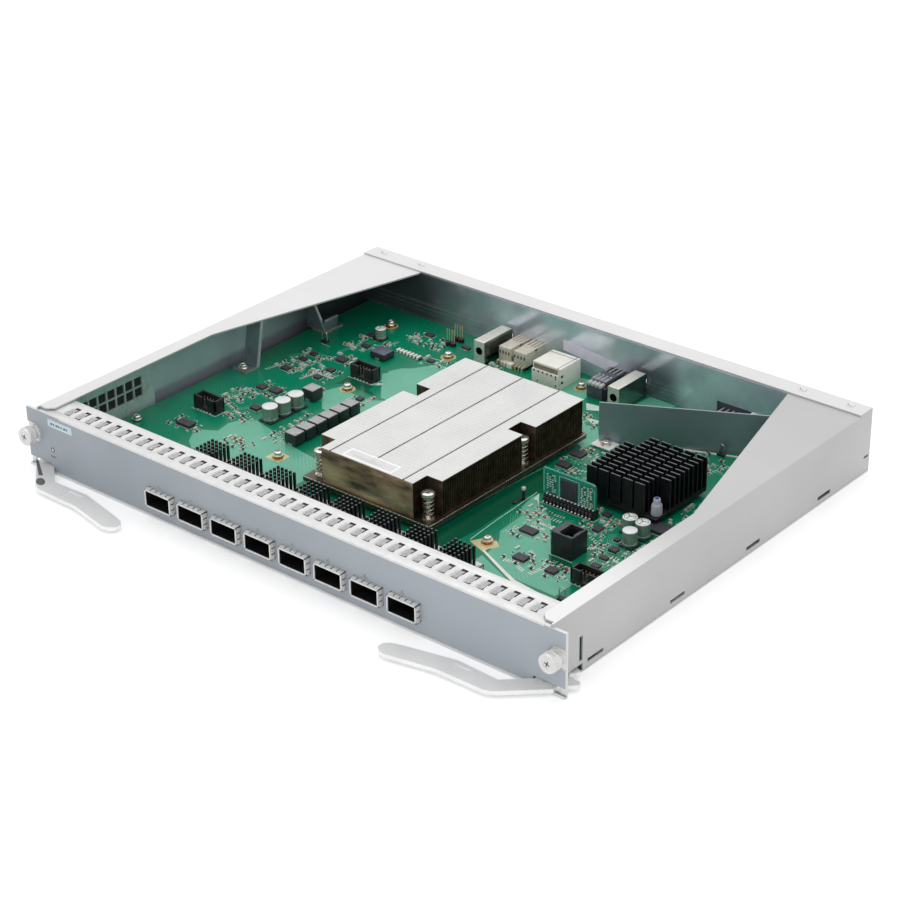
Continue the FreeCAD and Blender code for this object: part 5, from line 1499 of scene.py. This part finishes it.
def makePads():
    form = bmesh.new()
    addPad(form, ((-85.5, 81), (-74.5, 81), (-74.5, 91), (-85.5, 91)), 0.03)
    for x, y in screwSpots[1:4]:
        addTurned(form, [(1.8, 0), (5, 0), (5, 0.04), (1.8, 0.04)], (x, y, boardTop), "Z", 0, 28)
    addPad(form, ((71.1, 80.6), (75, 88), (82.7, 89.9), (87.7, 85.5), (84.3, 80.1), (84.3, 75.9)), 0.03)
    addPad(form, ((82.2, 78.6), (84.6, 76), (107.6, 65), (116.4, 61), (116.4, 63.7), (107.6, 67.4)),
            0.032, 1)
    addPad(form, ((116.4, 61), (143.5, 57.6), (176, 57.6), (176, 60), (143.5, 60), (116.4, 63.7)), 0.032, 1)
    addPad(form, ((100, 240.2), (128.4, 251.6), (150, 260.6), (150, 262.4), (128.4, 253.2), (99.6, 241.8)),
            0.4, 1)
    addTurned(form, [(1.9, 0), (5, 0), (5, 0.05), (1.9, 0.05)], (4, 269.3, boardTop), "Z", 0, 28)
    addBox(form, (54.4, 212, boardTop + 0.02), (68.4, 222.4, 9.05), 1, 0.15)
    finishPiece(form, "barePads", ["immersionGold", "creamMoulding"])

    form = bmesh.new()
    for points in planes:
        addPad(form, points, 0.012)
    finishPiece(form, "copperPlanes", ["copperPlane"])

    form = bmesh.new()
    for x, y in ((-165.3, 219.4), (114.8, 220.8), (148.4, 63.2), (121.9, 249.4)):
        addBox(form, (x - 2.4, y - 1.6, boardTop), (x + 2.4, y + 1.6, 9.4), 0, 0.2)
        addLoop(form, Vector((x, y, 9.2)), 2, 0.34, 6.2)
    addRod(form, (65.2, 135.4, boardTop), 6.5, 1, "Z", 0, 12)
    addTurned(form, [(0, 16.6), (1.1, 16.3), (1.4, 15.4), (1.1, 14.5), (0, 14.3)], Vector((65.2, 135.4, 0)),
            "Z", 4, 16)
    addBox(form, (62.8, 128, boardTop), (64.8, 135, 9), 0, 0.1)
    for column in range(2):
        for row in range(2):
            x = -100.4 + column * 2.6
            y = 265.8 + row * 8
            addTurned(form, [(0, 0), (2, 0), (2, 2.6), (1.2, 3.1), (0, 3.1)],
                    (x + column * 1.5, y, boardTop), "Z", 0, 14)
            for pin in (-0.9, 0.9):
                addRod(form, (x + column * 1.5 + pin, y, 10.8), 8.6, 0.3, "Z", 2, 8)
    for index in range(7):
        x = -119.6 + index * 2.9
        y = 238.4 - index * 0.1
        addBox(form, (x, y - 1.8, boardTop), (x + 1.4, y + 1.8, 10), 3, 0.15)
        addBox(form, (x + 1.4, y - 1.4, boardTop), (x + 2.7, y + 1.4, 9), 0)
        addBox(form, (x + 0.2, y - 3, boardTop), (x + 1.1, y + 3, 8.5), 1)
    finishPiece(form, "testLoopsAndPins", ["blackMoulding", "tinnedLead", "immersionGold", "creamMoulding",
            "whiteCeramic"])
    print("pads, planes and loops: 3")


def addLoop(form, foot, radius, wire, high):
    own = bmesh.new()
    made = bmesh.ops.create_circle(own, cap_ends=False, segments=8, radius=wire,
            matrix=Matrix.Translation((radius, 0, 0)))["verts"]
    bmesh.ops.spin(own, geom=made + edgesOf(made), cent=(0, 0, 0), axis=(0, -1, 0), angle=math.pi,
            steps=14, use_merge=False)
    joinInto(form, own, 1, Matrix.Translation(foot + Vector((0, 0, high - radius))))
    for sign in (-1, 1):
        addRod(form, foot + Vector((sign * radius, 0, 0)), high - radius, wire, "Z", 1, 8)


makeBoardScrews()
makePads()
makeInk()

# ---- rear connectors and the upright card

powerHoles = {"count": 6, "first": -23.6, "pitch": 3.4, "half": 0.6}
coaxBarrels = {"count": 4, "first": 14.7, "pitch": 2.9, "long": 5, "radius": 1.2}
backplanePins = {"pitch": 2, "half": 0.25, "heights": (12.2, 14.2, 16.2)}
cardLegs = {"count": 14, "first": 75.6, "pitch": 2.5}


# wafer connector in two ivory halves: flat top in front, raised ribs behind
def makeSignalConnector():
    form = bmesh.new()
    for x0, x1 in ((-58.5, -49.4), (-46.7, -37)):
        addBox(form, (x0 + 0.07, 266, 10.5), (x1 - 0.07, 288.9, 18.4), 0, 0.1)
        addBox(form, (x0, 265.6, 10.4), (x1, 277.5, 19.8), 0, 0.2)
        step = (x1 - x0 - 1.6) / 3
        for index in range(4):
            x = x0 + index * step
            addBox(form, (x, 275, 18), (x + 1.6, 289, 20), 0, 0.2)
        for index in range(4):
            x = x0 + 1.1 + index * (x1 - x0 - 2.2) / 3
            addBox(form, (x - 0.45, 265.5, 15.2), (x + 0.45, 265.7, 17.4), 1, 0.05)
            addBox(form, (x - 0.5, 262.6, 10.2), (x + 0.5, 266.2, 11.4), 0, 0.1)
            addBox(form, (x - 0.35, 262.4, boardTop), (x + 0.35, 263.1, 11), 2)
    # dark blocks under and between the two halves: painted shade
    addBox(form, (-58, 267, boardTop + 0.05), (-37.5, 288, 10.6), 3, 0.1)
    addBox(form, (-49.5, 268, 10.4), (-46.6, 288, 14), 3)
    finishPiece(form, "signalConnector", ["ivoryMoulding", "cageInside", "immersionGold", "cageInside"],
            ("signal_connector",))


# cream block: flat top, a shaded shelf under its front edge, rows of small holes
def makePowerConnector():
    form = bmesh.new()
    addBox(form, (-25.5, 258.4, boardTop + 0.05), (-4, 279, 22), 0, 0.2)
    addBox(form, (-25.5, 257, boardTop + 0.05), (-5.2, 258.6, 17.6), 0, 0.2)
    addBox(form, (-24.6, 258.3, 17.7), (-6, 258.45, 20.8), 3)
    addBox(form, (-6.3, 258, 21.9), (-5.9, 279, 22.04), 1)
    addBox(form, (-25, 275.6, 21.9), (-4.6, 276, 22.04), 1)
    for index in range(powerHoles["count"]):
        x, half = powerHoles["first"] + index * powerHoles["pitch"], powerHoles["half"]
        addBox(form, (x - half, 256.9, 16.2), (x + half, 257.1, 17.3), 1, 0.05)
    for x, z in ((-20.9, 10.2), (-6.6, 10.6), (-6.6, 15.2)):
        addBox(form, (x - 0.4, 256.9, z - 0.6), (x + 0.4, 257.1, z + 0.6), 1, 0.05)
    for z in (12.4, 16.6):
        addBox(form, (-4.1, 259, z - 0.8), (-3.95, 261.2, z + 0.8), 1, 0.05)
    finishPiece(form, "powerConnector", ["creamMoulding", "cageInside", "cageInside", "shelfTan"],
            ("power_connector",))


# slate block with four white barrels on its front edge and a slotted top behind them
def makeCoaxConnector():
    form = bmesh.new()
    addBox(form, (13.2, 262.4, boardTop + 0.05), (24.6, 276.4, 16.6), 0, 0.2)
    addBox(form, (24.4, 262.8, boardTop + 0.05), (27, 292, 16.2), 1, 0.2)
    addBox(form, (13.2, 266, 16.4), (24.8, 292, 18.9), 0, 0.2)
    for index in range(coaxBarrels["count"]):
        x = coaxBarrels["first"] + index * coaxBarrels["pitch"]
        addRod(form, (x, 262, 17.2), coaxBarrels["long"], coaxBarrels["radius"], "Y", 2, 18, 0.15)
        addBox(form, (x - 1, 267, 18.85), (x + 1, 272.5, 19), 3, 0.05)
        addBox(form, (x - 0.9, 273.4, 18.85), (x + 0.3, 274.6, 19.05), 2, 0.05)
    for index in range(4):
        x = 14.0 + index * 3.1
        addBox(form, (x, 279, 18.8), (x + 1.3, 291.5, 19.2), 3, 0.1)
        addBox(form, (x + 1.35, 279.4, 18.8), (x + 2.9, 291.8, 19), 1, 0.1)
    finishPiece(form, "coaxConnector", ["slateMoulding", "blackMoulding", "whiteCeramic", "slateTop"],
            ("coax_connector",))


def makeBackplaneConnectors():
    form = bmesh.new()
    for x0, x1, front in ((-31.5, 11.7, 288), (93, 119, 287.3)):
        addBox(form, (x0, front, boardTop + 0.05), (x1, 293, 11), 0, 0.15)
        addBox(form, (x0, front, 10.8), (x1, 295.2, 20.3), 0, 0.2)
        addBox(form, (x0, 295, 9), (x0 + 1.2, 300, 20.3), 0, 0.2)
        addBox(form, (x1 - 1.2, 295, 9), (x1, 300, 20.3), 0, 0.2)
        addBox(form, (x0, 295, 9), (x1, 300, 10.2), 0, 0.2)
        addBox(form, (x0, 295, 19.1), (x1, 300, 20.3), 0, 0.2)
        pitch, half = backplanePins["pitch"], backplanePins["half"]
        count = int((x1 - x0 - 5) / pitch)
        for index in range(count):
            x = (x0 + x1) / 2 + (index - (count - 1) / 2) * pitch
            for z in backplanePins["heights"]:
                addBox(form, (x - half, 295, z - half), (x + half, 298.6, z + half), 1)
    addBox(form, (95.5, 277.6, boardTop + 0.05), (115.5, 287.4, 16.6), 2, 0.25)
    for index in range(5):
        x = 97.6 + index * 3.5
        addBox(form, (x, 278.2, 16.5), (x + 1.5, 287, 17.3), 3, 0.2)
    addSlab(form, [(118, 282, boardTop + 0.05), (118, 286.3, boardTop + 0.05), (118, 286.3, 20.4),
            (118, 284, 19.6)], (6, 0, 0), 4)
    finishPiece(form, "backplaneConnectors", ["slateMoulding", "immersionGold", "blackMoulding", "slateTop",
            "creamMoulding"], ("backplane_connectors",))


def makeRearDetails():
    form = bmesh.new()
    addBox(form, (-54.4, 262.4, boardTop), (-46.2, 267.4, 11.2), 0, 0.3)
    addBox(form, (-46.4, 263, boardTop), (-43.4, 267, 10.6), 1, 0.3)
    addBox(form, (-55.6, 263, boardTop), (-54.2, 266.6, 9.6), 1, 0.2)
    addBox(form, (-61.2, 259, boardTop), (-58.4, 261.4, 9.8), 2, 0.2)
    finishPiece(form, "pilotPart", ["creamMoulding", "turnedBrass", "whiteCeramic"])
    low, high = span("mezzanine_card")
    front = low.y
    form = bmesh.new()
    addSlab(form, [(low.x, front, low.z), (high.x, front, low.z), (high.x, front, high.z - 2.5),
            (high.x - 0.7, front, high.z - 0.7), (high.x - 2.5, front, high.z), (low.x, front, high.z)],
            (0, high.y - front, 0), 0)
    finishPiece(form, "mezzanineCard", ["cardMask"], ("mezzanine_card",))
    form = bmesh.new()
    addBox(form, (86.4, front - 0.9, 14.4), (97.6, front, 26.2), 0, 0.15)
    addBox(form, (low.x + 0.2, front - 0.06, low.z + 3), (low.x + 1, front, high.z - 0.4), 4)
    addBox(form, (high.x - 0.7, front - 0.06, low.z + 3), (high.x - 0.1, front, high.z - 3), 4)
    for x0, z0, x1, z1 in ((84.8, 13.2, 99, 13.5), (84.8, 27, 99, 27.3), (84.8, 13.2, 85.1, 27.3),
            (98.7, 13.2, 99, 27.3)):
        addBox(form, (x0, front - 0.05, z0), (x1, front, z1), 3)
    draw = random.Random(7)
    for row in range(9):
        z = 14.2 + row * 1.45
        for index in range(4):
            x = 77.0 + index * 1.7 + draw.uniform(-0.2, 0.2)
            addBox(form, (x - 0.5, front - 0.3, z - 0.28), (x + 0.5, front, z + 0.28),
                    draw.choice((0, 1, 3, 3)))
        for index in range(4):
            x = 101.0 + index * 2.1 + draw.uniform(-0.4, 0.4)
            addBox(form, (x - 0.55, front - 0.5, z - 0.35), (x + 0.55, front, z + 0.35),
                    draw.choice((0, 1, 1, 3)))
    for z in (16, 25.6):
        addRod(form, (107.6, front - 0.12, z), 0.14, 1.2, "Y", 2, 16)
        addRod(form, (107.6, front - 0.2, z), 0.1, 0.6, "Y", 0, 12)
    for index in range(cardLegs["count"]):
        x = cardLegs["first"] + index * cardLegs["pitch"]
        addBox(form, (x, 139.4, 8.4), (x + 1.4, 140.8, 12.2), 0, 0.1)
        addSlab(form, [(x + 0.2, 139, 9.2), (x + 0.2, 139.8, 9), (x + 0.2, front + 0.1, 12.8),
                (x + 0.2, front + 0.1, 13.6)], (0.9, 0, 0), 5)
    finishPiece(form, "cardParts", ["epoxyPackage", "whiteCeramic", "immersionGold", "screenInk",
            "copperPlane", "brightLead"])
    print("rear and card details: 7")


makeSignalConnector()
makePowerConnector()
makeCoaxConnector()
makeBackplaneConnectors()
makeRearDetails()

print("pieces done")
